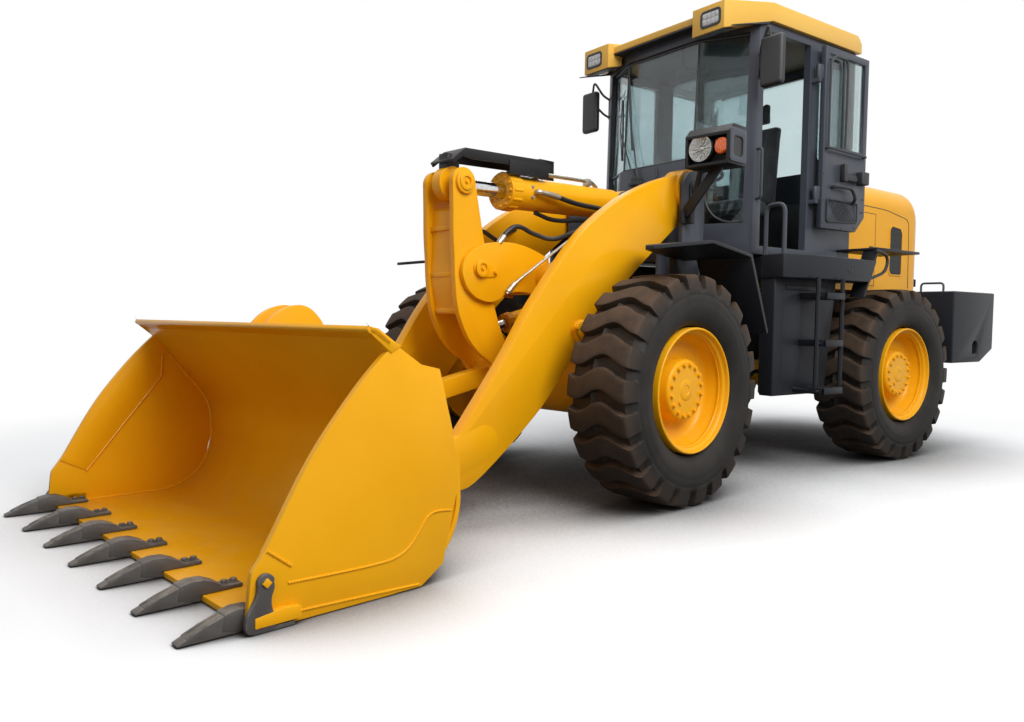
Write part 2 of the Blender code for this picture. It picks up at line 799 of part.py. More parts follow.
def make_cab_glass(carrier):
    depth = cab_wall / 2
    low, high = sill_front_z + gap, window_top_z - gap
    share = (cab_top_z - low) / (cab_top_z - cab_floor_z)
    top_share = (cab_top_z - high) / (cab_top_z - cab_floor_z)

    def strip(lean):
        outside = cab_plan(depth, lean)
        inside = cab_plan(depth + glass_thick, lean)
        stop = cab_half_width - pillar - gap
        ring = []
        for plan, order in ((outside, 1), (inside, -1)):
            front, corner = plan[0], plan[1]
            turn = (stop - front[1]) / (corner[1] - front[1])
            end = (front[0] + turn * (corner[0] - front[0]), stop)
            ring += [(end[0], -stop), (front[0], -front[1]), front, end][::order]
        return ring

    def quarter(lean):
        # The strip's own end panel, from beside the facet out to the pillar
        outside = cab_plan(depth + glass_thick / 4, lean)
        inside = cab_plan(depth + glass_thick * 3 / 4, lean)
        ring = []
        for plan, order in ((outside, 1), (inside, -1)):
            front, corner = plan[0], plan[1]
            ends = []
            for y in (cab_facet_half + pillar + gap, cab_half_width - pillar - gap):
                turn = (y - front[1]) / (corner[1] - front[1])
                ends.append((front[0] + turn * (corner[0] - front[0]), y))
            ring += ends[::order]
        return ring

    foot = sill_quarter_z + gap
    foot_share = (cab_top_z - foot) / (cab_top_z - cab_floor_z)
    screen = loft([(low, strip(cab_lean * share)), (high, strip(cab_lean * top_share))])
    lift = low + glass_thick
    lift_share = (cab_top_z - lift) / (cab_top_z - cab_floor_z)
    panes = both(
        lambda: loft([(foot, quarter(cab_lean * foot_share)), (lift, quarter(cab_lean * lift_share))])
    )
    node("windscreen", carrier, "glass", [screen] + panes)
    across = (cab_half_width - depth - glass_thick, cab_half_width - depth)
    rise = (sill_rear_z + gap, window_top_z - gap)
    for label, side in sides:
        pane = box((side_window_x[0] + gap, side_window_x[1] - gap), across, rise)
        node(f"side_glass_{label}", carrier, "glass", [sided(pane, side)])
    right = box((door_x[0] + pillar + gap, door_x[1] - gap), across, (rise[0] - pillar, rise[1]))
    node("right_window_glass", carrier, "glass", [mirrored(right)])
    back = (cab_rear_x + depth, cab_rear_x + depth + glass_thick)
    half = rear_window_half - gap
    node("rear_glass", carrier, "glass", [box(back, (-half, half), rise)])


roof_half = 0.79
visor_half = 0.71
pod_inner_y = 0.43
pod_front_x = 0.385
pod_low_z = 3.08
pod_high_z = 3.27
visor_x = 0.33
visor_high_z = 3.25
roof_fold_x = -0.06
roof_rear_x = -1.2
roof_low_z = cab_top_z + gap


def make_roof(carrier):
    # A thin visor between two lamp pods that run back into the roof's sides
    profile = [
        (roof_rear_x, roof_low_z),
        (visor_x, roof_low_z),
        (visor_x, visor_high_z),
        (roof_fold_x, roof_top_z),
        (roof_rear_x + cab_wall, roof_top_z),
        (roof_rear_x, roof_top_z - cab_wall),
    ]
    pod_view = [
        (roof_fold_x, roof_low_z),
        (pod_front_x, pod_low_z),
        (pod_front_x, pod_high_z),
        (roof_fold_x, roof_top_z),
    ]
    pods = both(lambda: prism(pod_view, pod_inner_y, roof_half))
    cut_plan = [
        (pod_front_x + overrun, visor_half),
        (roof_fold_x, roof_half + gap),
        (pod_front_x + overrun, roof_half + overrun),
    ]
    corners = both(lambda: prism(cut_plan, pod_low_z - overrun, roof_top_z + overrun, "Z"))
    cab_outline = cab_plan(-side_play, cab_lean / 4)
    cab = loft([(pod_low_z - overrun, cab_outline), (roof_low_z, cab_outline)])
    roof = prism(profile, -roof_half, roof_half)
    node("cab_roof", carrier, "roof_paint", [roof] + pods, corners + [cab])


mirror_x = (0.09, 0.15)
mirror_y = (0.83, 1.01)
mirror_z = (2.69, 3.03)
mirror_chamfer = 0.03
mirror_arm = 0.01
mirror_arm_z = (2.8, 2.95)
mirror_root = (0.045, cab_half_width + gap)


def make_mirrors(carrier):
    # A housing on two bent arms from the cab's front corner
    for label, side in sides:
        low, high = mirror_z
        left, right = mirror_y
        face = [
            (left + mirror_chamfer, low),
            (right - mirror_chamfer, low),
            (right, low + mirror_chamfer),
            (right, high - mirror_chamfer),
            (right - mirror_chamfer, high),
            (left + mirror_chamfer, high),
            (left, high - mirror_chamfer),
            (left, low + mirror_chamfer),
        ]
        shapes = [prism(face, *mirror_x, "X")]
        middle = (mirror_x[0] + mirror_x[1]) / 2
        root_x, root_y = mirror_root
        foot = box(
            (root_x - mirror_arm, root_x + mirror_arm),
            (root_y, root_y + 2 * mirror_arm),
            (mirror_arm_z[0] - mirror_arm, mirror_arm_z[1] + mirror_arm),
        )
        shapes.append(foot)
        for z in mirror_arm_z:
            start = (root_x, root_y + mirror_arm, z)
            shapes.append(rod(start, (middle, left + mirror_chamfer, z), mirror_arm, 8))
        node(f"mirror_{label}", carrier, "black_paint", [sided(shape, side) for shape in shapes])


seat_x = (-0.95, -0.45)
seat_half = 0.25
seat_z = (1.95, 2.08)
seat_back_high_z = 2.72
seat_back_thick = 0.12
seat_base_half = 0.18
head_half = 0.13
head_rise = 0.2
console_x = -0.08
wheel_radius = 0.19
wheel_tube = 0.015
column_radius = 0.05
column_lean = 0.14
plinth_half = 0.09
plinth_rise = 0.3


def make_cab_inside(carrier):
    floor = cab_floor_z + cab_floor + gap
    cushion = box(seat_x, (-seat_half, seat_half), seat_z)
    back = prism(
        [
            (seat_x[0], seat_z[0]),
            (seat_x[0] + seat_back_thick, seat_z[0]),
            (seat_x[0] + seat_back_thick / 2, seat_back_high_z),
            (seat_x[0] - seat_back_thick / 2, seat_back_high_z),
        ],
        -seat_half + overrun,
        seat_half - overrun,
    )
    head = box(
        (seat_x[0] - seat_back_thick / 2, seat_x[0] + seat_back_thick / 4),
        (-head_half, head_half),
        (seat_back_high_z - overrun, seat_back_high_z + head_rise),
    )
    node("seat", carrier, "seat_fabric", [cushion, back, head])
    pedestal = box(
        (seat_x[0] + seat_back_thick, seat_x[1] - seat_back_thick),
        (-seat_base_half, seat_base_half),
        (floor, seat_z[0] - gap),
    )
    node("seat_base", carrier, "black_paint", [pedestal])
    plinth = box(
        (console_x - plinth_half, console_x + plinth_half),
        (-plinth_half, plinth_half),
        (floor, floor + plinth_rise),
    )
    foot = (console_x, 0, floor + plinth_rise / 2)
    head = (console_x - column_lean, 0, seat_z[1] + wheel_radius)
    column = rod(foot, head, column_radius, 10)
    ring_axis = Vector(head) - Vector(foot)
    ring = turned(
        [(wheel_tube * cos(a), wheel_radius + wheel_tube * sin(a)) for a in [i * pi / 3 for i in range(6)]],
        Vector(head),
        ring_axis.normalized(),
        20,
    )
    spoke = rod((head[0], -wheel_radius, head[2]), (head[0], wheel_radius, head[2]), wheel_tube, 6)
    node("steering_console", carrier, "black_paint", [plinth, column, ring, spoke])


def make_door(cab_carrier):
    # Folded back flat against the cab's side, hinged at the rear edge of its doorway
    hinge = Carrier("door_axis", (*door_hinge, 0), cab_carrier)
    front = door_hinge[0] - door_setback
    rear = front - door_width
    near, far = door_hinge[1], door_hinge[1] + door_thick
    outline = [
        (rear, door_low_z + door_chamfer),
        (rear + door_chamfer, door_low_z),
        (front, door_low_z),
        (front, door_z[1]),
        (rear, door_z[1]),
    ]
    knuckles = []
    bores = []
    for z in knuckle_z:
        knuckles.append(rod((*door_hinge, z), (*door_hinge, z + knuckle_rise), knuckle_radius, 10))
        knuckles.append(
            box((front - overrun, door_hinge[0]), (near, near + knuckle_radius), (z, z + knuckle_rise))
        )
        top = z + knuckle_rise + overrun
        bores.append(rod((*door_hinge, z - overrun), (*door_hinge, top), bore_radius(knuckle_pin), bore_steps))
    cut = (near - overrun, far + overrun)
    upper = (door_bar_z + door_frame, door_z[1] - door_frame)
    pane = box((rear + door_frame, front - door_frame), cut, upper)
    node("door", hinge, "grey_paint", [prism(outline, near, far)] + knuckles, [pane] + bores)
    middle = near + door_thick / 2
    glass = box(
        (rear + door_frame + gap, front - door_frame - gap),
        (middle - glass_thick / 2, middle + glass_thick / 2),
        (upper[0] + gap, upper[1] - gap),
    )
    node("door_glass", hinge, "glass", [glass])


front_half = 0.22
front_root_x = 0.5
hinge_root_half = 0.21
front_end_x = 1.6
front_beam_high_z = 1.04
tower_plate = 0.03
arm_centre = 0.5
arm_half_thick = 0.04
arm_hub_half = 0.07
tower_outer = arm_centre + arm_hub_half + side_play + tower_plate
tower_inner = arm_centre - arm_hub_half - side_play - tower_plate
tower_half = 0.125
tower_waist_x = (0.58, 0.83)
tower_waist_z = 1.36
tower_foot_x = (0.42, 1.02)
tower_foot_z = 1.06
tower_base_z = 0.9
cross_beam_x = (0.56, 0.62)
cross_beam_z = (1.5, 2.0)
lift_y = 0.30
lift_barrel_radius = 0.06
lift_rod_radius = 0.035
tilt_barrel_radius = 0.105
tilt_rod_radius = 0.045
eye_half = 0.04
clevis_plate = 0.03


def tower_view():
    # An upright plate round the boom pin that widens only at its foot
    top = arc(boom_pin, tower_half, 0, 180, 8)
    rear = [(tower_waist_x[0], tower_waist_z), (tower_foot_x[0], tower_foot_z), (tower_foot_x[0], tower_base_z)]
    front = [(tower_foot_x[1], tower_base_z), (tower_foot_x[1], tower_foot_z), (tower_waist_x[1], tower_waist_z)]
    return top + rear + front


def make_front_frame(carrier):
    side_view = [
        (front_root_x, hinge_low_z + hinge_plate + side_play),
        (front_root_x, hinge_high_z - side_play),
        (tower_foot_x[1], front_beam_high_z),
        (front_end_x, front_beam_high_z),
        (front_end_x, tyre_radius + diff_radius + gap),
        (wheelbase / 2 - diff_radius - overrun, tyre_radius + diff_radius + gap),
        (wheelbase / 2 - diff_radius - overrun, hinge_low_z + hinge_plate + side_play),
    ]
    chassis = prism(side_view, -front_half, front_half)
    base = box(tower_foot_x, (-tower_outer, tower_outer), (tower_base_z, tower_foot_z))
    shapes = [chassis, base]
    for face in (tower_inner, tower_outer - tower_plate):
        shapes += both(lambda: prism(tower_view(), face, face + tower_plate))
    beam = box(cross_beam_x, (-tower_inner - overrun, tower_inner + overrun), cross_beam_z)
    shapes.append(beam)
    ear_low = eye_half + side_play
    for side in (1, -1):
        root = (cross_beam_x[1] - overrun, tilt_frame_pin[1])
        ear = bar(root, tilt_frame_pin, tilt_barrel_radius, ear_low, ear_low + clevis_plate)
        shapes.append(sided(ear, side))
    shapes.append(cross_rod(tilt_frame_pin, -ear_low - clevis_plate, ear_low + clevis_plate, pin_radius))
    for side in (1, -1):
        boom = cross_rod(boom_pin, tower_inner + overrun / 2, tower_outer + overrun, pin_radius)
        lift = cross_rod(lift_frame_pin, lift_y - eye_half, tower_inner + overrun / 2, pin_radius)
        shapes += [sided(boom, side), sided(lift, side)]
    neck_low, neck_high = hinge_low_z + hinge_plate + side_play, hinge_high_z - side_play
    shapes.append(box((-neck_x, front_root_x + overrun), (-neck_half, neck_half), (neck_low, neck_high)))
    for low in (neck_low, neck_high - hinge_plate):
        plan = hinge_plan(-1, front_root_x + overrun, hinge_root_half)
        shapes.append(prism(plan, low, low + hinge_plate, "Z"))
    bore = rod((0, 0, neck_low - overrun), (0, 0, neck_high + overrun), bore_radius(hinge_pin_radius), bore_steps)
    shapes += steer_ears(steer_front_pin, (front_root_x + overrun, front_half - overrun))
    node("front_frame", carrier, "grey_paint", shapes, [bore])
    make_axle("front_axle", carrier, wheelbase / 2)


fender_inner = 0.62
fender_outer = 1.15
flap_inner = 0.76
fender_front = (1.88, 1.475)
fender_crown = (1.31, 1.546)
fender_rear = (0.87, 1.49)
fender_flap = (0.65, 1.012)
fender_cut = ((1.93, 1.13), (1.22, 0.6))
lamp_x = (0.72, 0.93)
lamp_y = (0.68, 1.0)
lamp_z = (2.06, 2.31)
lamp_brow = 0.05
lamp_rim = 0.018
lamp_recess = 0.07
lamp_centres = ((0.79, 0.085), (0.94, 0.05))
lamp_mid_z = 2.175
lamp_arm = 0.02
lamp_foot = (0.8, 1.76)


def make_front_sides(carrier):
    for label, side in sides:
        ridge = [fender_front, fender_crown, fender_rear]
        under = [(x, z - fender_sheet) for x, z in ridge]
        flat = prism(ridge + under[::-1], fender_inner, fender_outer)
        flap_view = [
            fender_rear,
            fender_flap,
            (fender_flap[0] + fender_sheet, fender_flap[1] - fender_sheet / 2),
            (fender_rear[0] + fender_sheet, fender_rear[1] - fender_sheet),
        ]
        flap = prism(flap_view, flap_inner, fender_outer)
        stay = box(
            (tower_waist_x[1] - 4 * plate, tower_waist_x[1]),
            (tower_outer + gap, fender_inner + 2 * overrun),
            (fender_rear[1] - 4 * plate, fender_rear[1] - 2 * plate),
        )
        shelf = box(
            (tower_waist_x[1] - 4 * plate, fender_rear[0] + 4 * plate),
            (fender_inner, fender_inner + 2 * overrun),
            (fender_rear[1] - 4 * plate, fender_rear[1] - fender_sheet / 2),
        )
        shapes = [flat, flap, stay, shelf]
        (front_x, front_y), (back_x, back_y) = fender_cut
        corner = prism(
            [(front_x, front_y), (back_x, back_y), (front_x, back_y)],
            fender_rear[1] - 2 * overrun,
            fender_crown[1] + overrun,
            "Z",
        )
        shapes = [sided(shape, side) for shape in shapes]
        node(f"front_fender_{label}", carrier, "grey_paint", shapes, [sided(corner, side)])
        make_headlamp(carrier, label, side)


def make_headlamp(carrier, label, side):
    # A box open at the front, two round lamps in it, on a slanting arm from the tower
    housing = prism(
        [
            (lamp_x[0], lamp_z[0]),
            (lamp_x[1], lamp_z[0]),
            (lamp_x[1], lamp_z[1] - lamp_brow),
            (lamp_x[1] - lamp_brow, lamp_z[1]),
            (lamp_x[0], lamp_z[1]),
        ],
        *lamp_y,
    )
    mouth = box(
        (lamp_x[1] - lamp_recess, lamp_x[1] + overrun),
        (lamp_y[0] + lamp_rim, lamp_y[1] - lamp_rim),
        (lamp_z[0] + lamp_rim, lamp_z[1] - lamp_brow - lamp_rim),
    )
    lamps = []
    for y, radius in lamp_centres:
        back = (lamp_x[1] - lamp_recess - overrun, y, lamp_mid_z)
        lamps.append(rod(back, (lamp_x[1] - lamp_rim, y, lamp_mid_z), radius))
    foot = (lamp_foot[0], tower_outer + gap + 2 * lamp_arm, lamp_foot[1])
    arm = rod(foot, (lamp_x[0] + 4 * lamp_arm, lamp_y[0] + 2 * lamp_arm, lamp_z[0] + overrun), lamp_arm, 8)
    toe = box(
        (foot[0] - lamp_arm, foot[0] + lamp_arm),
        (tower_outer + gap, foot[1] + lamp_arm),
        (foot[2] - 2 * lamp_arm, foot[2] + 2 * lamp_arm),
    )
    shapes = [sided(shape, side) for shape in (housing, arm, toe)]
    hood = node(f"headlamp_{label}", carrier, "black_paint", shapes, [sided(mouth, side)])
    lenses = bpy.data.collections.new(f"headlamp_{label}_lamps")
    for number, lamp in enumerate(lamps):
        piece = placed(f"headlamp_{label}_lamp_{number}", sided(lamp, side), carrier)
        piece.hide_render = True
        piece.display_type = "WIRE"
        lenses.objects.link(piece)
    filled = hood.modifiers.new("lamps", "BOOLEAN")
    filled.operation = "UNION"
    filled.solver = "EXACT"
    filled.operand_type = "COLLECTION"
    filled.collection = lenses


# Boom, bellcrank and dump link

arm_places_share = (
    # along the line from boom pin to bucket pin, and above it
    (-0.03, 0.034),
    (0.21, 0.104),
    (0.40, 0.11),
    (0.565, 0.074),
    (0.69, 0.034),
    (0.86, -0.008),
    (0.90, -0.1),
    (0.69, -0.106),
    (0.44, -0.062),
    (0.22, -0.048),
    (0.02, -0.049),
)
arm_hub_radius = 0.14
nose_radius = 0.105
tube_place_share = (0.40, 0.025)
nose_root_share = (0.82, -0.06)
tube_radius = 0.1
crank_y = (0.105, 0.14)
bracket_y = (crank_y[1] + side_play, crank_y[1] + side_play + plate)
bracket_view = (
    (1.66, 1.46),
    (1.8, 1.505),
    (2.007, 1.536),
    (2.202, 1.515),
    (2.33, 1.47),
    (2.384, 1.362),
    (2.325, 1.245),
    (2.221, 1.18),
    (2.11, 1.175),
    (2.03, 1.25),
    (1.9, 1.24),
    (1.66, 1.21),
)
lift_boss_radius = 0.075
crank_head = 0.085
crank_eye = 0.09
crank_pin_boss = 0.068
crank_front_edge = (
    (2.407, 1.414),
    (2.4, 1.294),
    (2.375, 1.122),
    (2.299, 0.965),
    (2.204, 0.867),
    (2.106, 0.8),
)
crank_rear_edge = ((1.9, 0.81), (2.03, 0.99), (2.1, 1.172), (2.13, 1.366), (2.178, 1.516))
crank_web = (
    (2.375, 1.70),
    (2.345, 1.70),
    (2.34, 1.42),
    (2.34, 1.28),
    (2.3, 1.1),
    (2.345, 1.1),
    (2.385, 1.28),
    (2.385, 1.42),
)


def make_boom(front):
    axis = pinned("boom_axis", boom_pin, front)
    outline = along_line(boom_pin, bucket_pin, arm_places_share)
    low, high = arm_centre - arm_half_thick, arm_centre + arm_half_thick
    hub = (arm_centre - arm_hub_half, arm_centre + arm_hub_half)
    tube_centre = along_line(boom_pin, bucket_pin, [tube_place_share])[0]
    shapes = both(lambda: prism(outline, low, high))
    shapes += both(lambda: cross_rod(boom_pin, *hub, arm_hub_radius))
    nose_root = along_line(boom_pin, bucket_pin, [nose_root_share])[0]
    shapes += both(lambda: bar(nose_root, bucket_pin, nose_radius, low, high))
    boss = (lift_y + eye_half + side_play, high + overrun)
    shapes += both(lambda: cross_rod(lift_boom_pin, *boss, lift_boss_radius, 12))
    shapes.append(cross_rod(tube_centre, -low - overrun, low + overrun, tube_radius))
    shapes += both(lambda: prism(bracket_view, *bracket_y))
    bore = bore_radius(pin_radius)
    outside = bracket_y[1] + overrun
    bores = both(lambda: cross_rod(boom_pin, hub[0] - overrun, hub[1] + overrun, bore, bore_steps))
    bores += both(lambda: cross_rod(bucket_pin, low - overrun, high + overrun, bore, bore_steps))
    bores.append(cross_rod(crank_pin, -outside, outside, bore, bore_steps))
    node("boom", axis, "yellow_paint", shapes, bores)
    return axis


def make_bellcrank(boom):
    # Two curved plates, tied by a web along their front, inside the boom's brackets
    axis = pinned("bellcrank_axis", crank_pin, boom)
    head = arc(crank_top_pin, crank_head, 0, 180, 8)
    foot = arc(crank_low_pin, crank_eye, 320, 150, 8)
    outline = head + list(reversed(crank_rear_edge)) + foot[::-1] + list(reversed(crank_front_edge))
    shapes = both(lambda: prism(outline, *crank_y))
    for pin in (crank_top_pin, crank_low_pin):
        shapes += both(lambda: cross_rod(pin, crank_y[0], crank_y[1] + overrun, crank_pin_boss, 12))
    shapes.append(cross_rod(crank_pin, -bracket_y[1] - overrun, bracket_y[1] + overrun, pin_radius))
    shapes.append(prism(crank_web, -crank_y[0] - overrun / 2, crank_y[0] + overrun / 2))
    node("bellcrank", axis, "yellow_paint", shapes)
    return axis


link_half = 0.055
link_eye = 0.09
link_y = crank_y[0] - side_play
link_core = 0.045
link_ear_y = (0.055, 0.085)


def make_dump_link(bucket):
    axis = pinned("dump_link_axis", link_pin, bucket)
    run = bar(crank_low_pin, link_pin, link_half, -link_core, link_core)
    reach = link_ear_y[0] - side_play
    eyes = [cross_rod(crank_low_pin, -link_y, link_y, link_eye)]
    eyes.append(cross_rod(link_pin, -reach, reach, link_eye))
    bore = cross_rod(link_pin, -link_y - overrun, link_y + overrun, bore_radius(pin_radius), bore_steps)
    node("dump_link", axis, "yellow_paint", [run] + eyes, [bore])


# Bucket

bucket_wall = 0.022
bucket_side = 0.026
bucket_floor_z = 0.004
bucket_top_z = 1.045
bucket_heel_radius = 0.34
bucket_heel_x = 3.245
bucket_knee = (3.27, 0.56)
bucket_lip_x = 3.7
bucket_lip_drop = 0.03
side_places_share = (
    # from the bucket's back to its edge, and from its floor to its top
    (0.355, 0.925),
    (0.207, 0.848),
    (0.116, 0.834),
    (0.038, 0.588),
    (-0.006, 0.374),
    (0.09, 0.066),
    (0.21, 0.0),
    (0.85, 0.0),
    (1.008, 0.17),
    (1.0, 0.218),
    (0.946, 0.264),
    (0.827, 0.488),
    (0.698, 0.638),
    (0.549, 0.78),
    (0.43, 0.888),
)
tooth_count = 7
tooth_half = 0.038
tooth_tip_share = 0.62
adapter_rear = 0.15
adapter_rise = 0.062
adapter_step = 0.045
strip_thick = 0.012
strip_depth = 0.12
strip_setback = 0.025
leg_thick = 0.02
leg_front_x = 4.2
leg_view = (
    (4.0, 0.0),
    (leg_front_x, 0.0),
    (leg_front_x, 0.05),
    (4.165, 0.15),
    (4.14, 0.185),
    (4.1, 0.185),
    (4.075, 0.155),
    (4.08, 0.1),
    (4.0, 0.06),
)
ear_root = ((3.30, 0.03), (3.27, 0.2), (3.28, 0.5), (3.56, 0.86), (3.5, 0.93), (3.42, 0.9))
link_ear_root = (
    (3.27, 0.3),
    (3.29, 0.56),
    (3.585, 0.9),
    (3.56, 1.0),
    (3.47, 1.1),
    (3.38, 1.13),
    (3.29, 1.1),
    (3.21, 1.0),
)


def bucket_place(share):
    span = bucket_edge_x - bucket_back_x
    return (bucket_back_x + share[0] * span, bucket_floor_z + share[1] * (bucket_top_z - bucket_floor_z))


def shell_path(inset, mouth_x):
    # Floor, heel arc, back that leans forward, and the lip, seen from the side, out to the mouth
    centre = (bucket_heel_x + bucket_heel_radius, bucket_floor_z + bucket_heel_radius)
    heel = arc(centre, bucket_heel_radius - inset, 270, 180, 8)
    knee = (bucket_knee[0] + inset, bucket_knee[1] - inset / 2)
    lip = (bucket_lip_x - bucket_lip_drop, bucket_top_z - inset)
    return [(mouth_x, bucket_floor_z + inset)] + heel + [knee, lip]


def make_bucket(boom):
    axis = pinned("bucket_axis", bucket_pin, boom)
    shell = shell_path(0, bucket_edge_x) + [(bucket_lip_x, bucket_top_z)]
    shell += [(bucket_lip_x, bucket_top_z - bucket_lip_drop), (bucket_edge_x, bucket_floor_z + bucket_wall)]
    body = prism(shell, -bucket_half_width + gap, bucket_half_width - gap)
    mouth_x = bucket_edge_x + overrun
    hollow_view = shell_path(bucket_wall, mouth_x) + [(mouth_x, bucket_top_z - bucket_wall)]
    hollow = prism(hollow_view, -bucket_half_width + bucket_side, bucket_half_width - bucket_side)
    recess = box(
        (bucket_edge_x - strip_setback - strip_depth - gap, bucket_edge_x + overrun),
        (-bucket_half_width - overrun, bucket_half_width + overrun),
        (-overrun, bucket_floor_z + strip_thick + gap),
    )
    cheek = [bucket_place(share) for share in side_places_share]
    shapes = [body] + both(lambda: prism(cheek, bucket_half_width - bucket_side, bucket_half_width))
    ear_view = arc(bucket_pin, nose_radius, 90, 270, 6) + list(ear_root)
    reach = arm_half_thick + side_play
    for face in (arm_centre + reach, arm_centre - reach - clevis_plate):
        shapes += both(lambda: prism(ear_view, face, face + clevis_plate))
    reach += clevis_plate + overrun
    shapes += both(lambda: cross_rod(bucket_pin, arm_centre - reach, arm_centre + reach, pin_radius))
    link_view = arc(link_pin, link_eye, 150, 290, 6) + list(link_ear_root)
    shapes += both(lambda: prism(link_view, *link_ear_y))
    shapes.append(cross_rod(link_pin, -link_ear_y[1] - overrun, link_ear_y[1] + overrun, pin_radius))
    node("bucket", axis, "yellow_paint", shapes, [hollow, recess])
    make_edge(axis)
    return axis


def make_edge(axis):
    # Teeth on the lip of the floor, tied by a wear strip let in under it, and a leg up each cheek's corner
    low = bucket_floor_z
    edge = bucket_edge_x - strip_setback
    outer = bucket_half_width + gap
    across = outer + leg_thick
    shapes = [box((edge - strip_depth, edge), (-across, across), (low, low + strip_thick))]
    inner = bucket_half_width - bucket_side - tooth_half - gap
    floor = low + bucket_wall + gap
    for number in range(tooth_count):
        y = inner * (2 * number / (tooth_count - 1) - 1)
        tooth_view = [
            (edge - strip_thick, low),
            (tooth_tip_x, low),
            (tooth_tip_x, low + strip_thick),
            (bucket_edge_x + adapter_step, low + adapter_rise),
            (bucket_edge_x - adapter_rear, low + adapter_rise),
            (bucket_edge_x - adapter_rear, floor),
            (bucket_edge_x + gap, floor),
            (bucket_edge_x + gap, low + strip_thick),
            (edge - strip_thick, low + strip_thick),
        ]
        tooth = prism(tooth_view, -tooth_half, tooth_half)
        for corner in tooth.verts:
            if corner.co.x > bucket_edge_x + 2 * adapter_step:
                corner.co.y *= tooth_tip_share
        bmesh.ops.translate(tooth, vec=(0, y, 0), verts=tooth.verts)
        shapes.append(tooth)
    leg = [(x, low + z) for x, z in leg_view]
    shapes += both(lambda: prism(leg, outer, outer + leg_thick))
    node("cutting_edge", axis, "tooth_steel", shapes)


# Cylinders: each has a barrel hung on its own pin and a rod that slides out of it

neck_share = 0.9
gland_share = 1.12
gland_length_share = 0.9
eye_share = 0.95
upright = Vector((0, 0, 1))
crosswise = Vector((0, 1, 0))
steer_barrel_radius = 0.04
steer_rod_radius = 0.022
lift_barrel_share = 0.86
tilt_barrel_share = 0.74
steer_barrel_share = 0.62
tilt_retraction = 0.21
steer_retraction = 0.285


def cylinder(name, carrier, base, eye, barrel_radius, rod_radius, barrel_share, retraction, across=crosswise):
    # From the barrel's pin to the rod's eye, both pins running the same way across
    base, eye = Vector(base), Vector(eye)
    run = (eye - base).normalized()
    length = (eye - base).length
    start = base + run * (barrel_radius + side_play)
    mouth = base + run * (length * barrel_share)
    hinge = Carrier(f"{name}_barrel_axis", base, carrier)
    lug = rod(base - across * eye_half, base + across * eye_half, barrel_radius)
    barrel = rod(start, mouth, barrel_radius)
    gland = rod(mouth - run * (barrel_radius * gland_length_share), mouth, barrel_radius * gland_share)
    neck = rod(base, start + run * overrun, neck_share * min(eye_half, barrel_radius))
    through = across * (eye_half + overrun)
    hole = rod(base - through, base + through, bore_radius(pin_radius), bore_steps)
    bore = rod(start + run * barrel_radius, mouth + run * overrun, rod_radius + slide_play)
    node(f"{name}_barrel", hinge, "yellow_paint", [lug, barrel, gland, neck], [hole, bore], smooth=True)
    slide = Carrier(f"{name}_rod_axis", base, hinge)
    inner = start + run * (barrel_radius + retraction + overrun)
    stem = rod(inner, eye - run * rod_radius / 2, rod_radius)
    head = rod(eye - across * eye_half, eye + across * eye_half, barrel_radius * eye_share)
    node(f"{name}_rod", slide, "chrome", [stem, head], smooth=True)
    return slide


def make_cylinders(rear, front):
    for label, side in sides:
        base = (lift_frame_pin[0], side * lift_y, lift_frame_pin[1])
        eye = (lift_boom_pin[0], side * lift_y, lift_boom_pin[1])
        cylinder(f"lift_{label}", front, base, eye, lift_barrel_radius, lift_rod_radius, lift_barrel_share, 0)
    base = (tilt_frame_pin[0], 0, tilt_frame_pin[1])
    eye = (crank_top_pin[0], 0, crank_top_pin[1])
    sizes = (tilt_barrel_radius, tilt_rod_radius, tilt_barrel_share, tilt_retraction)
    tilt = cylinder("tilt", front, base, eye, *sizes)
    make_guard(tilt)
    turn = Matrix.Rotation(steered_at_rest, 3, "Z")
    for label, side in sides:
        base = (steer_rear_pin[0], side * steer_rear_pin[1], steer_cylinder_z)
        eye = turn @ Vector((steer_front_pin[0], side * steer_front_pin[1], steer_cylinder_z))
        sizes = (steer_barrel_radius, steer_rod_radius, steer_barrel_share, steer_retraction)
        cylinder(f"steer_{label}", rear, base, eye, *sizes, across=upright)


guard_half = 0.1
guard_foot_half = 0.045
guard_foot_low_z = 1.92
guard_top = ((2.4, 1.99), (2.3, 2.068), (1.66, 2.087), (1.575, 2.065))
guard_skirt = ((1.575, 2.03), (1.66, 2.03), (2.25, 2.01), (2.31, 2.02), (2.385, 1.965))


def make_guard(carrier):
    # A folded plate over the rod, on a post seated on the rod's eye
    under = [(x, z - sheet) for x, z in reversed(guard_top)]
    top = prism(list(guard_top) + under, -guard_half, guard_half)
    flanges = both(lambda: prism(list(guard_top) + list(guard_skirt), guard_half - sheet, guard_half))
    foot = box(
        (crank_top_pin[0] - guard_foot_half, crank_top_pin[0] + guard_foot_half),
        (-eye_half, eye_half),
        (guard_foot_low_z, guard_top[0][1] + guard_foot_half),
    )
    seat_radius = eye_share * tilt_barrel_radius + gap
    seat = cross_rod(crank_top_pin, -eye_half - overrun, eye_half + overrun, seat_radius)
    node("rod_guard", carrier, "black_paint", [top, foot] + flanges, [seat])


def machine_middle():
    # Middle of the parked machine's box in plan, from the pivot
    turn = steered_at_rest
    tip = (leg_front_x, bucket_half_width + gap + leg_thick)
    point = (tooth_tip_x, bucket_half_width - bucket_side - tooth_half * (1 - tooth_tip_share) - gap)
    ahead = point[0] * cos(turn) + point[1] * sin(turn)
    left = max(corner[0] * sin(turn) + corner[1] * cos(turn) for corner in (tip, point))
    right = -max(counterweight_half_width, (track + tyre_width) / 2, step_y[1])
    return ((ahead + counterweight_rear_x) / 2, (left + right) / 2)


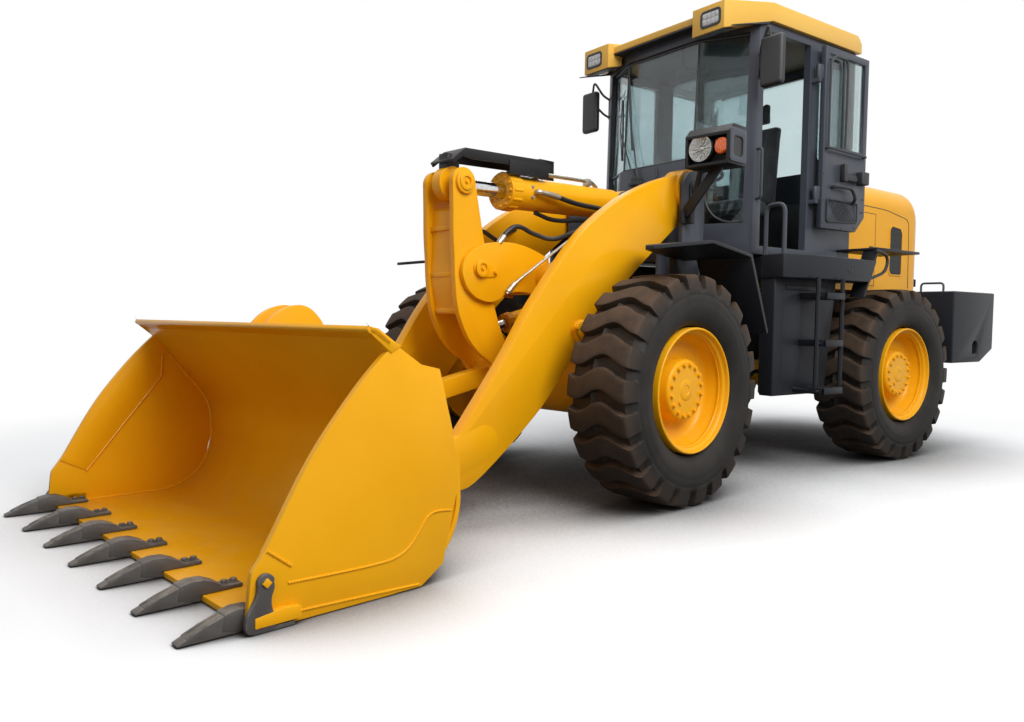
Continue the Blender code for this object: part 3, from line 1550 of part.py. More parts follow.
def main():
    clear_scene()
    set_finishes()
    middle = machine_middle()
    machine = Carrier("machine")
    machine.empty.location = (-middle[0], -middle[1], 0)
    rear = Carrier("rear_body", parent=machine)
    front = Carrier("articulation_axis", parent=rear, turn=steered_at_rest)
    make_rear_frame(rear)
    make_rear_masses(rear)
    make_hood(rear)
    for label, side in sides:
        make_side(rear, label, side)
    make_cab(rear)
    make_roof(rear)
    make_mirrors(rear)
    make_cab_inside(rear)
    make_door(rear)
    make_front_frame(front)
    make_front_sides(front)
    boom = make_boom(front)
    make_bellcrank(boom)
    bucket = make_bucket(boom)
    make_dump_link(bucket)
    make_cylinders(rear, front)
    make_wheels(rear, front)


main()
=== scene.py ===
import json
from math import atan2, cos, pi, radians, sin, sqrt

import bmesh
import bpy
from mathutils import Matrix, Vector


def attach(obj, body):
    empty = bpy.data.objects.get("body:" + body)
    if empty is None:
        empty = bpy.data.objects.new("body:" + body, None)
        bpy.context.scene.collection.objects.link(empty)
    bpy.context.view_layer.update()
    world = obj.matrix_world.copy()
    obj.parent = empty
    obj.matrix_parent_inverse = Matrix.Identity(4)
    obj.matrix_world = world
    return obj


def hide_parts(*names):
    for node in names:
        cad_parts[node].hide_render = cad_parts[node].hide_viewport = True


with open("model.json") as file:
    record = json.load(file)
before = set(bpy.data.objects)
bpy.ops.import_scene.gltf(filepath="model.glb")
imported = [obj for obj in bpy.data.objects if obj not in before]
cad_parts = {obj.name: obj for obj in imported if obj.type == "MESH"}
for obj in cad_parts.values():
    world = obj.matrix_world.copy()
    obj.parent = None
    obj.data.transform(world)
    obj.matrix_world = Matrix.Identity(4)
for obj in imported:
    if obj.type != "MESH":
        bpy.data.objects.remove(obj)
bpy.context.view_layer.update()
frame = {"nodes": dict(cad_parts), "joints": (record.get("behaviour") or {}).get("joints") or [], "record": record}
print("frame loaded")

# Places are read in the machine's own layout: forward of the articulation pivot, left, and up.
# What the front frame carries is placed as if it wasn't steered, and frontSpace turns it.
joints = {joint["name"]: joint for joint in frame["joints"]}
pivot = joints["steer"]["pos_m"]
raiseAxis = joints["boom_lift"]["axis"]
rearSpace = Matrix.Translation((pivot[0], pivot[1], 0))
frontSpace = rearSpace @ Matrix.Rotation(atan2(raiseAxis[0], -raiseAxis[1]), 4, "Z")


def pinOf(joint):
    # a joint's place in the side view of the front frame, as (forward, up)
    spot = frontSpace.inverted() @ Vector(joints[joint]["pos_m"])
    return (spot.x, spot.z)


boomPin = pinOf("boom_lift")
bucketPin = pinOf("bucket_tilt")
crankPin = pinOf("bellcrank_swing")
linkPin = pinOf("dump_link_swing")
tiltPin = pinOf("tilt_cylinder_swing")
liftPin = pinOf("lift_cylinder_swing_left")

# Where the cylinders' rods and the dump link take hold, in the same view
tiltEye = (2.34, 1.86)
linkEye = (1.97, 0.74)
liftEye = (1.76, 1.0)
sides = (("left", 1), ("right", -1))

# Shapes

placing = {
    # how an outline's two coordinates, and a third along the named axis, become a place
    "X": lambda a, b, c: Vector((c, a, b)),
    "Y": lambda a, b, c: Vector((a, c, b)),
    "Z": lambda a, b, c: Vector((a, b, c)),
}


def thickened(bm, axis, depth):
    # gives a flat sheet its thickness
    pushed = bmesh.ops.extrude_face_region(bm, geom=list(bm.faces))
    moved = [item for item in pushed["geom"] if isinstance(item, bmesh.types.BMVert)]
    bmesh.ops.translate(bm, vec=placing[axis](0, 0, depth), verts=moved)
    bmesh.ops.recalc_face_normals(bm, faces=bm.faces)
    return bm


def plate(outline, low, high, axis="Y"):
    # an outline of two coordinates, pushed along the third axis
    bm = bmesh.new()
    bm.faces.new([bm.verts.new(placing[axis](a, b, low)) for a, b in outline])
    return thickened(bm, axis, high - low)


def block(x, y, z):
    bm = bmesh.new()
    size = Vector((x[1] - x[0], y[1] - y[0], z[1] - z[0]))
    middle = Vector((x[0] + x[1], y[0] + y[1], z[0] + z[1])) / 2
    bmesh.ops.create_cube(bm, size=1, matrix=Matrix.Translation(middle) @ Matrix.Diagonal((*size, 1)))
    return bm


def drum(start, end, radius, steps=24, tip=None):
    # a cylinder or cone from one point to another
    start, end = Vector(start), Vector(end)
    turn = (end - start).to_track_quat("Z", "Y").to_matrix().to_4x4()
    bm = bmesh.new()
    bmesh.ops.create_cone(
        bm,
        cap_ends=True,
        segments=steps,
        radius1=radius,
        radius2=radius if tip is None else tip,
        depth=(end - start).length,
        matrix=Matrix.Translation((start + end) / 2) @ turn,
    )
    return bm


def crossDrum(pin, near, far, radius, steps):
    # a cylinder across the machine at a place in the side view
    return drum((pin[0], near, pin[1]), (pin[0], far, pin[1]), radius, steps)


def lathe(profile, centre, axis, steps):
    # a closed profile of (along, radius), spun about the axis
    bm = bmesh.new()
    verts = [bm.verts.new((along, 0, radius)) for along, radius in profile]
    edges = [bm.edges.new((verts[i - 1], verts[i])) for i in range(len(verts))]
    bmesh.ops.spin(
        bm, geom=verts + edges, cent=(0, 0, 0), axis=(1, 0, 0), angle=2 * pi, steps=steps, use_merge=True
    )
    bmesh.ops.remove_doubles(bm, verts=bm.verts, dist=0.00005)
    bmesh.ops.delete(bm, geom=[edge for edge in bm.edges if not edge.link_faces], context="EDGES")
    turn = Vector((1, 0, 0)).rotation_difference(Vector(axis)).to_matrix().to_4x4()
    bmesh.ops.transform(bm, matrix=Matrix.Translation(centre) @ turn, verts=bm.verts)
    bmesh.ops.recalc_face_normals(bm, faces=bm.faces)
    return bm


def hexBolt(spot, axis, size, rise):
    # a bolt head with its washer
    spot, axis = Vector(spot), Vector(axis).normalized()
    washer = drum(spot, spot + axis * rise * 0.3, size * 1.25, 16)
    head = drum(spot, spot + axis * rise, size, 6)
    easeEdges(head, size * 0.12, 1, 40)
    return joined([washer, head])


def easeEdges(bm, width, segments=2, sharper=30):
    # rounds every edge that turns more than the angle
    edges = [e for e in bm.edges if len(e.link_faces) == 2 and e.calc_face_angle(0) > radians(sharper)]
    bmesh.ops.bevel(
        bm,
        geom=edges,
        offset=width,
        offset_type="OFFSET",
        segments=segments,
        profile=0.5,
        affect="EDGES",
        clamp_overlap=True,
        material=-1,
    )
    return bm


def joined(shapes):
    # several bmeshes in one
    whole = shapes[0]
    for shape in shapes[1:]:
        carrier = bpy.data.meshes.new("carrier")
        shape.to_mesh(carrier)
        shape.free()
        whole.from_mesh(carrier)
        bpy.data.meshes.remove(carrier)
    return whole


def mirrored(bm):
    bmesh.ops.scale(bm, vec=(1, -1, 1), verts=bm.verts)
    bmesh.ops.reverse_faces(bm, faces=bm.faces)
    return bm


def onSide(bm, side):
    return bm if side > 0 else mirrored(bm)


def onBoth(make):
    return [make(), mirrored(make())]


def arc(centre, radius, first, last, steps):
    angles = [radians(first + (last - first) * i / steps) for i in range(steps + 1)]
    return [(centre[0] + radius * cos(a), centre[1] + radius * sin(a)) for a in angles]


def smoothLine(spots, steps=6):
    # a curve through the points, as Catmull and Rom draw it
    ends = [
        tuple(2 * Vector(spots[0]) - Vector(spots[1])),
        *spots,
        tuple(2 * Vector(spots[-1]) - Vector(spots[-2])),
    ]
    path = []
    for before, start, end, after in zip(ends, ends[1:], ends[2:], ends[3:]):
        before, start, end, after = Vector(before), Vector(start), Vector(end), Vector(after)
        for i in range(steps):
            t = i / steps
            bend = (2 * before - 5 * start + 4 * end - after) * t ** 2
            twist = (3 * start - before - 3 * end + after) * t ** 3
            path.append(tuple((2 * start + (end - before) * t + bend + twist) / 2))
    return path + [tuple(spots[-1])]


def barCurve(radius, steps):
    curve = bpy.data.curves.new("route", "CURVE")
    curve.dimensions = "3D"
    curve.bevel_depth = radius
    curve.bevel_resolution = max(1, steps // 4)
    curve.use_fill_caps = True
    return curve


def tube(route, radius, steps=10):
    # a round bar along a smooth curve through the points
    curve = barCurve(radius, steps)
    curve.resolution_u = 8
    spline = curve.splines.new("BEZIER")
    spline.bezier_points.add(len(route) - 1)
    for point, spot in zip(spline.bezier_points, route):
        point.co = spot
        point.handle_left_type = point.handle_right_type = "AUTO"
    return meshedCurve(curve)


def bentBar(route, radius, corner, steps=10):
    # a round bar with straight runs and rounded corners
    spots = [Vector(spot) for spot in route]
    path = [spots[0]]
    for before, at, after in zip(spots, spots[1:], spots[2:]):
        back, ahead = (before - at).normalized(), (after - at).normalized()
        reach = min(corner, (before - at).length / 2, (after - at).length / 2)
        for i in range(7):
            t = i / 6
            path.append(at + back * reach * (1 - t) ** 2 + ahead * reach * t ** 2)
    path.append(spots[-1])
    curve = barCurve(radius, steps)
    spline = curve.splines.new("POLY")
    spline.points.add(len(path) - 1)
    for point, spot in zip(spline.points, path):
        point.co = (*spot, 1)
    return meshedCurve(curve)


def meshedCurve(curve):
    guide = bpy.data.objects.new("guide", curve)
    bpy.context.scene.collection.objects.link(guide)
    made = bpy.data.meshes.new_from_object(guide.evaluated_get(bpy.context.evaluated_depsgraph_get()))
    bm = bmesh.new()
    bm.from_mesh(made)
    bpy.data.objects.remove(guide)
    bpy.data.curves.remove(curve)
    bpy.data.meshes.remove(made)
    bmesh.ops.remove_doubles(bm, verts=bm.verts, dist=0.00005)
    bmesh.ops.recalc_face_normals(bm, faces=bm.faces)
    return bm


def copyOf(node, width, segments=2, sharper=30):
    # a CAD node's own mesh, merged, with its flat faces whole again and its edges rounded
    bm = bmesh.new()
    bm.from_mesh(frame["nodes"][node].data)
    bmesh.ops.remove_doubles(bm, verts=bm.verts, dist=0.0001)
    bmesh.ops.dissolve_limit(bm, angle_limit=radians(0.6), verts=bm.verts, edges=bm.edges)
    easeEdges(bm, width, segments, sharper)
    return bm


bodyOf = {node: body for body, nodes in frame["record"]["behaviour"]["bodies"].items() for node in nodes}
slotOf = {part["node"]: part["material_slot"] for part in frame["record"]["subparts"]}


def show(name, bm, body, finish, space=None, smooth=35, replaced=()):
    # one finished piece: its place is in its mesh, and it rides on a body
    if space:
        bmesh.ops.transform(bm, matrix=space, verts=bm.verts)
    mesh = bpy.data.meshes.new(name)
    bm.to_mesh(mesh)
    bm.free()
    mesh.shade_smooth()
    mesh.set_sharp_from_angle(angle=radians(smooth))
    mesh.materials.append(finish)
    made = bpy.data.objects.new(name, mesh)
    bpy.context.scene.collection.objects.link(made)
    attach(made, body)
    if replaced:
        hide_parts(*replaced)
    return made


# Finishes: groups for what several materials share, then a material for each paint, metal, rubber,
# glass and cloth


def newGroup(name, inputs, outputs):
    # inputs and outputs are (name, kind, value)
    group = bpy.data.node_groups.new(name, "ShaderNodeTree")
    for label, kind, value in inputs:
        socket = group.interface.new_socket(name=label, in_out="INPUT", socket_type=kind)
        socket.default_value = value
    for label, kind in outputs:
        group.interface.new_socket(name=label, in_out="OUTPUT", socket_type=kind)
    return group, group.nodes.new("NodeGroupInput"), group.nodes.new("NodeGroupOutput")


def link(tree, source, target):
    tree.links.new(source, target)


def noise(tree, vector, scale, detail=3, roughness=0.55):
    node = tree.nodes.new("ShaderNodeTexNoise")
    node.inputs["Detail"].default_value = detail
    node.inputs["Roughness"].default_value = roughness
    if isinstance(scale, (int, float)):
        node.inputs["Scale"].default_value = scale
    else:
        link(tree, scale, node.inputs["Scale"])
    link(tree, vector, node.inputs["Vector"])
    return node.outputs["Fac"]


def math(tree, operation, first, second=None, third=None):
    node = tree.nodes.new("ShaderNodeMath")
    node.operation = operation
    for socket, value in zip(node.inputs, (first, second, third)):
        if value is None:
            continue
        if isinstance(value, (int, float)):
            socket.default_value = value
        else:
            link(tree, value, socket)
    return node.outputs[0]


def between(tree, value, low, high, start=0.0, end=1.0):
    # the value's range from low to high, mapped smoothly onto start to end
    node = tree.nodes.new("ShaderNodeMapRange")
    node.interpolation_type = "SMOOTHSTEP"
    for label, number in (("From Min", low), ("From Max", high), ("To Min", start), ("To Max", end)):
        node.inputs[label].default_value = number
    link(tree, value, node.inputs["Value"])
    return node.outputs[0]


def mixColor(tree, factor, first, second):
    node = tree.nodes.new("ShaderNodeMix")
    node.data_type = "RGBA"
    for label, value in (("Factor", factor), ("A", first), ("B", second)):
        kind = "VALUE" if label == "Factor" else "RGBA"
        socket = next(s for s in node.inputs if s.name == label and s.type == kind)
        if isinstance(value, (int, float, tuple)):
            socket.default_value = value
        else:
            link(tree, value, socket)
    return next(s for s in node.outputs if s.type == "RGBA")


def objectSpot(tree):
    return tree.nodes.new("ShaderNodeTexCoord").outputs["Object"]


def makePaintGroup():
    # sprayed paint: faint clouds of tone, orange peel, and dust that settles on what faces up
    group, given, made = newGroup(
        "sprayedPaint",
        [
            ("Color", "NodeSocketColor", (0.8, 0.8, 0.8, 1)),
            ("Deep Color", "NodeSocketColor", (0.5, 0.5, 0.5, 1)),
            ("Dust Color", "NodeSocketColor", (0.4, 0.33, 0.25, 1)),
            ("Dust", "NodeSocketFloat", 0.2),
            ("Roughness", "NodeSocketFloat", 0.35),
        ],
        [("Color", "NodeSocketColor"), ("Roughness", "NodeSocketFloat"), ("Height", "NodeSocketFloat")],
    )
    spot = objectSpot(group)
    cloud = noise(group, spot, 1.7, 4)
    grain = noise(group, spot, 60, 2)
    tone = between(group, cloud, 0.35, 0.7)
    paint = mixColor(
        group, math(group, "MULTIPLY", tone, 0.35), given.outputs["Color"], given.outputs["Deep Color"]
    )
    facing = group.nodes.new("ShaderNodeSeparateXYZ")
    link(group, group.nodes.new("ShaderNodeNewGeometry").outputs["Normal"], facing.inputs[0])
    upward = between(group, facing.outputs["Z"], 0.2, 0.95)
    settled = math(group, "MULTIPLY", upward, between(group, noise(group, spot, 6, 5, 0.65), 0.35, 0.75))
    dust = math(group, "MULTIPLY", settled, given.outputs["Dust"])
    link(group, mixColor(group, dust, paint, given.outputs["Dust Color"]), made.inputs["Color"])
    smudge = math(group, "MULTIPLY", between(group, grain, 0.3, 0.8), 0.06)
    rough = math(group, "ADD", given.outputs["Roughness"], smudge)
    link(group, math(group, "ADD", rough, math(group, "MULTIPLY", dust, 0.5)), made.inputs["Roughness"])
    peel = noise(group, spot, 220, 1)
    link(group, math(group, "ADD", math(group, "MULTIPLY", peel, 0.6), cloud), made.inputs["Height"])
    return group


def makeEdgeGroup():
    # worn edges: where a rounded normal leaves the face's own, broken up by noise
    group, given, made = newGroup(
        "wornEdges",
        [("Amount", "NodeSocketFloat", 0.5), ("Scale", "NodeSocketFloat", 20.0)],
        [("Mask", "NodeSocketFloat")],
    )
    spot = objectSpot(group)
    eased = group.nodes.new("ShaderNodeBevel")
    eased.inputs["Radius"].default_value = 0.012
    eased.samples = 4
    same = group.nodes.new("ShaderNodeVectorMath")
    same.operation = "DOT_PRODUCT"
    link(group, eased.outputs[0], same.inputs[0])
    link(group, group.nodes.new("ShaderNodeNewGeometry").outputs["Normal"], same.inputs[1])
    edge = between(group, same.outputs["Value"], 0.97, 0.8)
    broken = between(group, noise(group, spot, given.outputs["Scale"], 5, 0.7), 0.42, 0.62)
    mask = math(group, "MULTIPLY", math(group, "MULTIPLY", edge, broken), given.outputs["Amount"])
    link(group, mask, made.inputs["Mask"])
    return group


groups = {"sprayedPaint": makePaintGroup(), "wornEdges": makeEdgeGroup()}


def newMaterial(name):
    material = bpy.data.materials.new(name)
    material.use_nodes = True
    tree = material.node_tree
    return material, tree, tree.nodes["Principled BSDF"]


def place(tree, group, **values):
    # a shared group in a material, with this material's own values
    node = tree.nodes.new("ShaderNodeGroup")
    node.node_tree = groups[group]
    for label, value in values.items():
        node.inputs[label.replace("_", " ")].default_value = value
    return node


def bumped(tree, shader, height, strength, distance):
    bump = tree.nodes.new("ShaderNodeBump")
    bump.inputs["Strength"].default_value = strength
    bump.inputs["Distance"].default_value = distance
    link(tree, height, bump.inputs["Height"])
    link(tree, bump.outputs[0], shader.inputs["Normal"])


def paint(
    name, color, deep, roughness, dust=0.15, worn=0.0, wornColor=(0.25, 0.23, 0.21, 1), coat=0.06, gloss=0.3
):
    material, tree, shader = newMaterial(name)
    spray = place(tree, "sprayedPaint", Color=color, Deep_Color=deep, Dust=dust, Roughness=roughness)
    tone = spray.outputs["Color"]
    if worn:
        edges = place(tree, "wornEdges", Amount=worn)
        tone = mixColor(tree, edges.outputs["Mask"], tone, wornColor)
    link(tree, tone, shader.inputs["Base Color"])
    link(tree, spray.outputs["Roughness"], shader.inputs["Roughness"])
    shader.inputs["Coat Weight"].default_value = coat
    shader.inputs["Coat Roughness"].default_value = 0.12
    shader.inputs["Specular IOR Level"].default_value = gloss
    bumped(tree, shader, spray.outputs["Height"], 0.12, 0.002)
    return material


finishes = {
    "yellow_paint": paint(
        "yellowPaint", (0.83, 0.385, 0.004, 1), (0.74, 0.31, 0.002, 1), 0.3, 0.1, gloss=0.2
    ),
    "roof_paint": paint("roofPaint", (0.72, 0.42, 0.08, 1), (0.66, 0.35, 0.04, 1), 0.34, 0.12, gloss=0.2),
    "grey_paint": paint("greyPaint", (0.047, 0.052, 0.066, 1), (0.036, 0.04, 0.05, 1), 0.4, 0.16),
    "black_paint": paint(
        "blackPaint", (0.013, 0.013, 0.014, 1), (0.008, 0.008, 0.009, 1), 0.42, 0.1, gloss=0.2
    ),
}
darkGrey = paint("darkGreyPaint", (0.017, 0.018, 0.022, 1), (0.012, 0.013, 0.016, 1), 0.42, 0.12, gloss=0.16)


def makeToothSteel():
    # cast steel under thin dark paint, brown with dust, bare along its edges
    material, tree, shader = newMaterial("toothSteel")
    spray = place(
        tree,
        "sprayedPaint",
        Color=(0.075, 0.068, 0.062, 1),
        Deep_Color=(0.04, 0.036, 0.033, 1),
        Dust=0.5,
        Roughness=0.5,
    )
    edges = place(tree, "wornEdges", Amount=0.7, Scale=35.0)
    tone = mixColor(tree, edges.outputs["Mask"], spray.outputs["Color"], (0.3, 0.28, 0.26, 1))
    link(tree, tone, shader.inputs["Base Color"])
    link(tree, math(tree, "MULTIPLY", edges.outputs["Mask"], 0.8), shader.inputs["Metallic"])
    link(tree, spray.outputs["Roughness"], shader.inputs["Roughness"])
    cast = noise(tree, objectSpot(tree), 90, 4)
    bumped(tree, shader, cast, 0.35, 0.003)
    return material


def makeChrome():
    material, tree, shader = newMaterial("rodChrome")
    drawn = noise(tree, objectSpot(tree), 40, 3)
    shader.inputs["Metallic"].default_value = 1.0
    tone = mixColor(tree, between(tree, drawn, 0.3, 0.7), (0.72, 0.72, 0.73, 1), (0.62, 0.62, 0.64, 1))
    link(tree, tone, shader.inputs["Base Color"])
    link(tree, between(tree, drawn, 0.3, 0.8, 0.1, 0.22), shader.inputs["Roughness"])
    return material


def makeZinc():
    material, tree, shader = newMaterial("zincPlate")
    spot = objectSpot(tree)
    spangle = noise(tree, spot, 45, 4)
    tone = mixColor(tree, between(tree, spangle, 0.3, 0.7), (0.55, 0.5, 0.4, 1), (0.36, 0.33, 0.28, 1))
    link(tree, tone, shader.inputs["Base Color"])
    shader.inputs["Metallic"].default_value = 0.8
    link(tree, between(tree, spangle, 0.3, 0.8, 0.3, 0.5), shader.inputs["Roughness"])
    return material


def makeRubber(name, color, deep, roughness, dustColor, dust):
    # rubber: the vertex attribute tread tells how much road dust it holds
    material, tree, shader = newMaterial(name)
    spot = objectSpot(tree)
    worn = tree.nodes.new("ShaderNodeAttribute")
    worn.attribute_name = "tread"
    tone = mixColor(tree, between(tree, noise(tree, spot, 5, 4), 0.3, 0.7), color, deep)
    patchy = between(tree, noise(tree, spot, 9, 6, 0.7), 0.3, 0.62, 0.45, 1.0)
    facing = tree.nodes.new("ShaderNodeSeparateXYZ")
    link(tree, tree.nodes.new("ShaderNodeNewGeometry").outputs["Normal"], facing.inputs[0])
    settled = between(tree, facing.outputs["Z"], -0.5, 0.9, 0.25, 1.0)
    held = math(tree, "MULTIPLY", math(tree, "MULTIPLY", worn.outputs["Fac"], patchy), dust)
    held = math(tree, "MULTIPLY", held, settled)
    link(tree, mixColor(tree, held, tone, dustColor), shader.inputs["Base Color"])
    link(tree, math(tree, "ADD", math(tree, "MULTIPLY", held, 0.2), roughness), shader.inputs["Roughness"])
    grain = noise(tree, spot, 140, 4, 0.7)
    shader.inputs["Specular IOR Level"].default_value = 0.2
    bumped(tree, shader, grain, 0.25, 0.002)
    return material


def makeGlass():
    material, tree, shader = newMaterial("tintedGlass")
    spot = objectSpot(tree)
    film = between(tree, noise(tree, spot, 3, 4), 0.3, 0.7)
    link(tree, mixColor(tree, film, (0.5, 0.64, 0.66, 1), (0.46, 0.61, 0.63, 1)), shader.inputs["Base Color"])
    link(tree, between(tree, noise(tree, spot, 14, 3), 0.3, 0.8, 0.02, 0.06), shader.inputs["Roughness"])
    shader.inputs["Transmission Weight"].default_value = 1.0
    shader.inputs["IOR"].default_value = 1.45
    shader.inputs["Alpha"].default_value = 0.8
    return material


def makePlastic(name, color, roughness, scale=300):
    material, tree, shader = newMaterial(name)
    spot = objectSpot(tree)
    pebble = noise(tree, spot, scale, 2)
    soft = between(tree, noise(tree, spot, 4, 3), 0.3, 0.7, 0.85, 1.0)
    dim = tree.nodes.new("ShaderNodeVectorMath")
    dim.operation = "SCALE"
    dim.inputs[0].default_value = color[:3]
    link(tree, soft, dim.inputs["Scale"])
    link(tree, dim.outputs[0], shader.inputs["Base Color"])
    rough = between(tree, pebble, 0.3, 0.8, roughness - 0.06, roughness + 0.08)
    link(tree, rough, shader.inputs["Roughness"])
    bumped(tree, shader, pebble, 0.2, 0.001)
    return material


def makeFabric():
    # seat cloth: a fine twill of crossing waves, with a soft sheen
    material, tree, shader = newMaterial("seatCloth")
    spot = objectSpot(tree)
    threads = []
    for direction in ("X", "Z"):
        wave = tree.nodes.new("ShaderNodeTexWave")
        wave.bands_direction = direction
        wave.inputs["Scale"].default_value = 180
        wave.inputs["Distortion"].default_value = 0.4
        link(tree, spot, wave.inputs["Vector"])
        threads.append(wave.outputs["Fac"])
    weave = math(tree, "MULTIPLY", threads[0], threads[1])
    faded = between(tree, noise(tree, spot, 7, 4), 0.3, 0.7)
    tone = mixColor(tree, faded, (0.03, 0.032, 0.036, 1), (0.05, 0.052, 0.057, 1))
    link(tree, tone, shader.inputs["Base Color"])
    shader.inputs["Roughness"].default_value = 0.85
    shader.inputs["Sheen Weight"].default_value = 0.3
    bumped(tree, shader, weave, 0.4, 0.001)
    return material


finishes["tooth_steel"] = makeToothSteel()
finishes["chrome"] = makeChrome()
finishes["tyre_rubber"] = makeRubber(
    "tyreRubber", (0.021, 0.0195, 0.018, 1), (0.012, 0.0115, 0.011, 1), 0.6, (0.12, 0.07, 0.04, 1), 0.65
)
finishes["glass"] = makeGlass()
finishes["cast_iron"] = paint(
    "engineIron", (0.09, 0.085, 0.08, 1), (0.05, 0.048, 0.045, 1), 0.6, 0.3, coat=0.0
)
finishes["seat_fabric"] = makeFabric()
zinc = makeZinc()
hoseRubber = makePlastic("hoseRubber", (0.012, 0.012, 0.013, 1), 0.5)
mirrorPlastic = makePlastic("mirrorPlastic", (0.02, 0.021, 0.023, 1), 0.55)


def makeLens(name, color, roughness, scale):
    # pressed lens: ribs in its roughness and normal
    material, tree, shader = newMaterial(name)
    spot = objectSpot(tree)
    ripple = noise(tree, spot, scale, 2)
    deep = tuple(value * 0.7 for value in color[:3]) + (1,)
    link(tree, mixColor(tree, between(tree, ripple, 0.3, 0.7), color, deep), shader.inputs["Base Color"])
    link(tree, between(tree, ripple, 0.3, 0.8, roughness, roughness + 0.1), shader.inputs["Roughness"])
    shader.inputs["Coat Weight"].default_value = 0.6
    bumped(tree, shader, ripple, 0.3, 0.002)
    return material


lampLens = makeLens("workLamp", (0.55, 0.55, 0.55, 1), 0.15, 80)
orangeLens = makeLens("turnLens", (0.75, 0.13, 0.01, 1), 0.12, 60)
tailLens = makeLens("tailLens", (0.5, 0.02, 0.01, 1), 0.12, 60)
bowlChrome = makeLens("lampBowl", (0.42, 0.41, 0.39, 1), 0.12, 70)
bowlChrome.node_tree.nodes["Principled BSDF"].inputs["Metallic"].default_value = 0.85


def makeClearLens():
    material, tree, shader = newMaterial("clearLens")
    spot = objectSpot(tree)
    tone = mixColor(tree, noise(tree, spot, 20, 2), (0.95, 0.95, 0.95, 1), (0.85, 0.87, 0.88, 1))
    link(tree, tone, shader.inputs["Base Color"])
    shader.inputs["Roughness"].default_value = 0.03
    shader.inputs["Transmission Weight"].default_value = 1.0
    shader.inputs["IOR"].default_value = 1.15
    shader.inputs["Alpha"].default_value = 0.4
    return material


clearLens = makeClearLens()
print("finishes made")


def painted(name, bm, body, slot, space, smooth=35, replaced=()):
    # a piece in the plain finish of its slot
    return show(name, bm, body, finishes[slot], space, smooth, replaced)


# these are painted darker than the rest of their slot
deeper = ("counterweight", "front_fender_left", "front_fender_right", "rear_fender_left", "rear_fender_right")
for name, node in frame["nodes"].items():
    node.data.materials.clear()
    node.data.materials.append(darkGrey if name in deeper else finishes[slotOf[name]])

# Pieces. First the CAD nodes that keep their shape, each with its edges rounded

rounding = {
    # width of the rounding and how many facets it has
    "rear_frame": (0.004, 2),
    "rear_axle": (0.004, 2),
    "front_axle": (0.004, 2),
    "engine_block": (0.01, 2),
    "rear_grille": (0.003, 1),
    "counterweight": (0.012, 3),
    "rear_fender_left": (0.004, 2),
    "rear_fender_right": (0.004, 2),
    "cab_shell": (0.006, 2),
    "cab_roof": (0.014, 3),
    "seat_base": (0.006, 2),
    "steering_console": (0.003, 2),
    "door": (0.003, 2),
    "front_frame": (0.004, 2),
    "front_fender_left": (0.004, 2),
    "front_fender_right": (0.004, 2),
    "headlamp_left": (0.004, 2),
    "headlamp_right": (0.004, 2),
    "dump_link": (0.005, 2),
    "rod_guard": (0.003, 2),
}
for node, (width, facets) in rounding.items():
    finish = frame["nodes"][node].data.materials[0]
    show(f"{node}_eased", copyOf(node, width, facets), bodyOf[node], finish, replaced=(node,))
print("rounded nodes made")

# Tyres and rims

tyre = {
    "lugs": 22,
    "phases": (0.0, 0.03, 0.14, 0.26, 0.38, 0.49, 0.59, 0.62, 0.66, 0.75, 0.87, 0.96),
    "firstGroove": 8,
    "profile": (
        # across, radius, and where the groove lies from there: across and down
        (0.118, 0.370, 0, 0),
        (0.150, 0.372, 0, 0),
        (0.176, 0.385, 0, 0),
        (0.196, 0.410, 0, 0),
        (0.211, 0.440, 0, 0),
        (0.2195, 0.475, 0, 0),
        (0.2222, 0.500, 0, 0),
        (0.2214, 0.504, 0, 0),
        (0.2222, 0.510, 0, 0),
        (0.2212, 0.530, 0, 0),
        (0.2190, 0.549, 0, 0),
        (0.2170, 0.553, 0, 0),
        (0.2192, 0.560, 0, 0),
        (0.2178, 0.575, -0.006, 0),
        (0.2150, 0.592, -0.018, 0),
        (0.2100, 0.620, -0.025, -0.006),
        (0.2040, 0.648, -0.025, -0.016),
        (0.2000, 0.660, -0.018, -0.030),
        (0.1930, 0.6660, -0.012, -0.038),
        (0.1650, 0.6690, 0, -0.042),
        (0.1300, 0.6715, 0, -0.043),
        (0.0900, 0.6730, 0, -0.043),
        (0.0600, 0.6738, 0, -0.043),
        (0.0340, 0.6740, 0, -0.043),
        (0.0120, 0.6740, 0, -0.043),
    ),
}


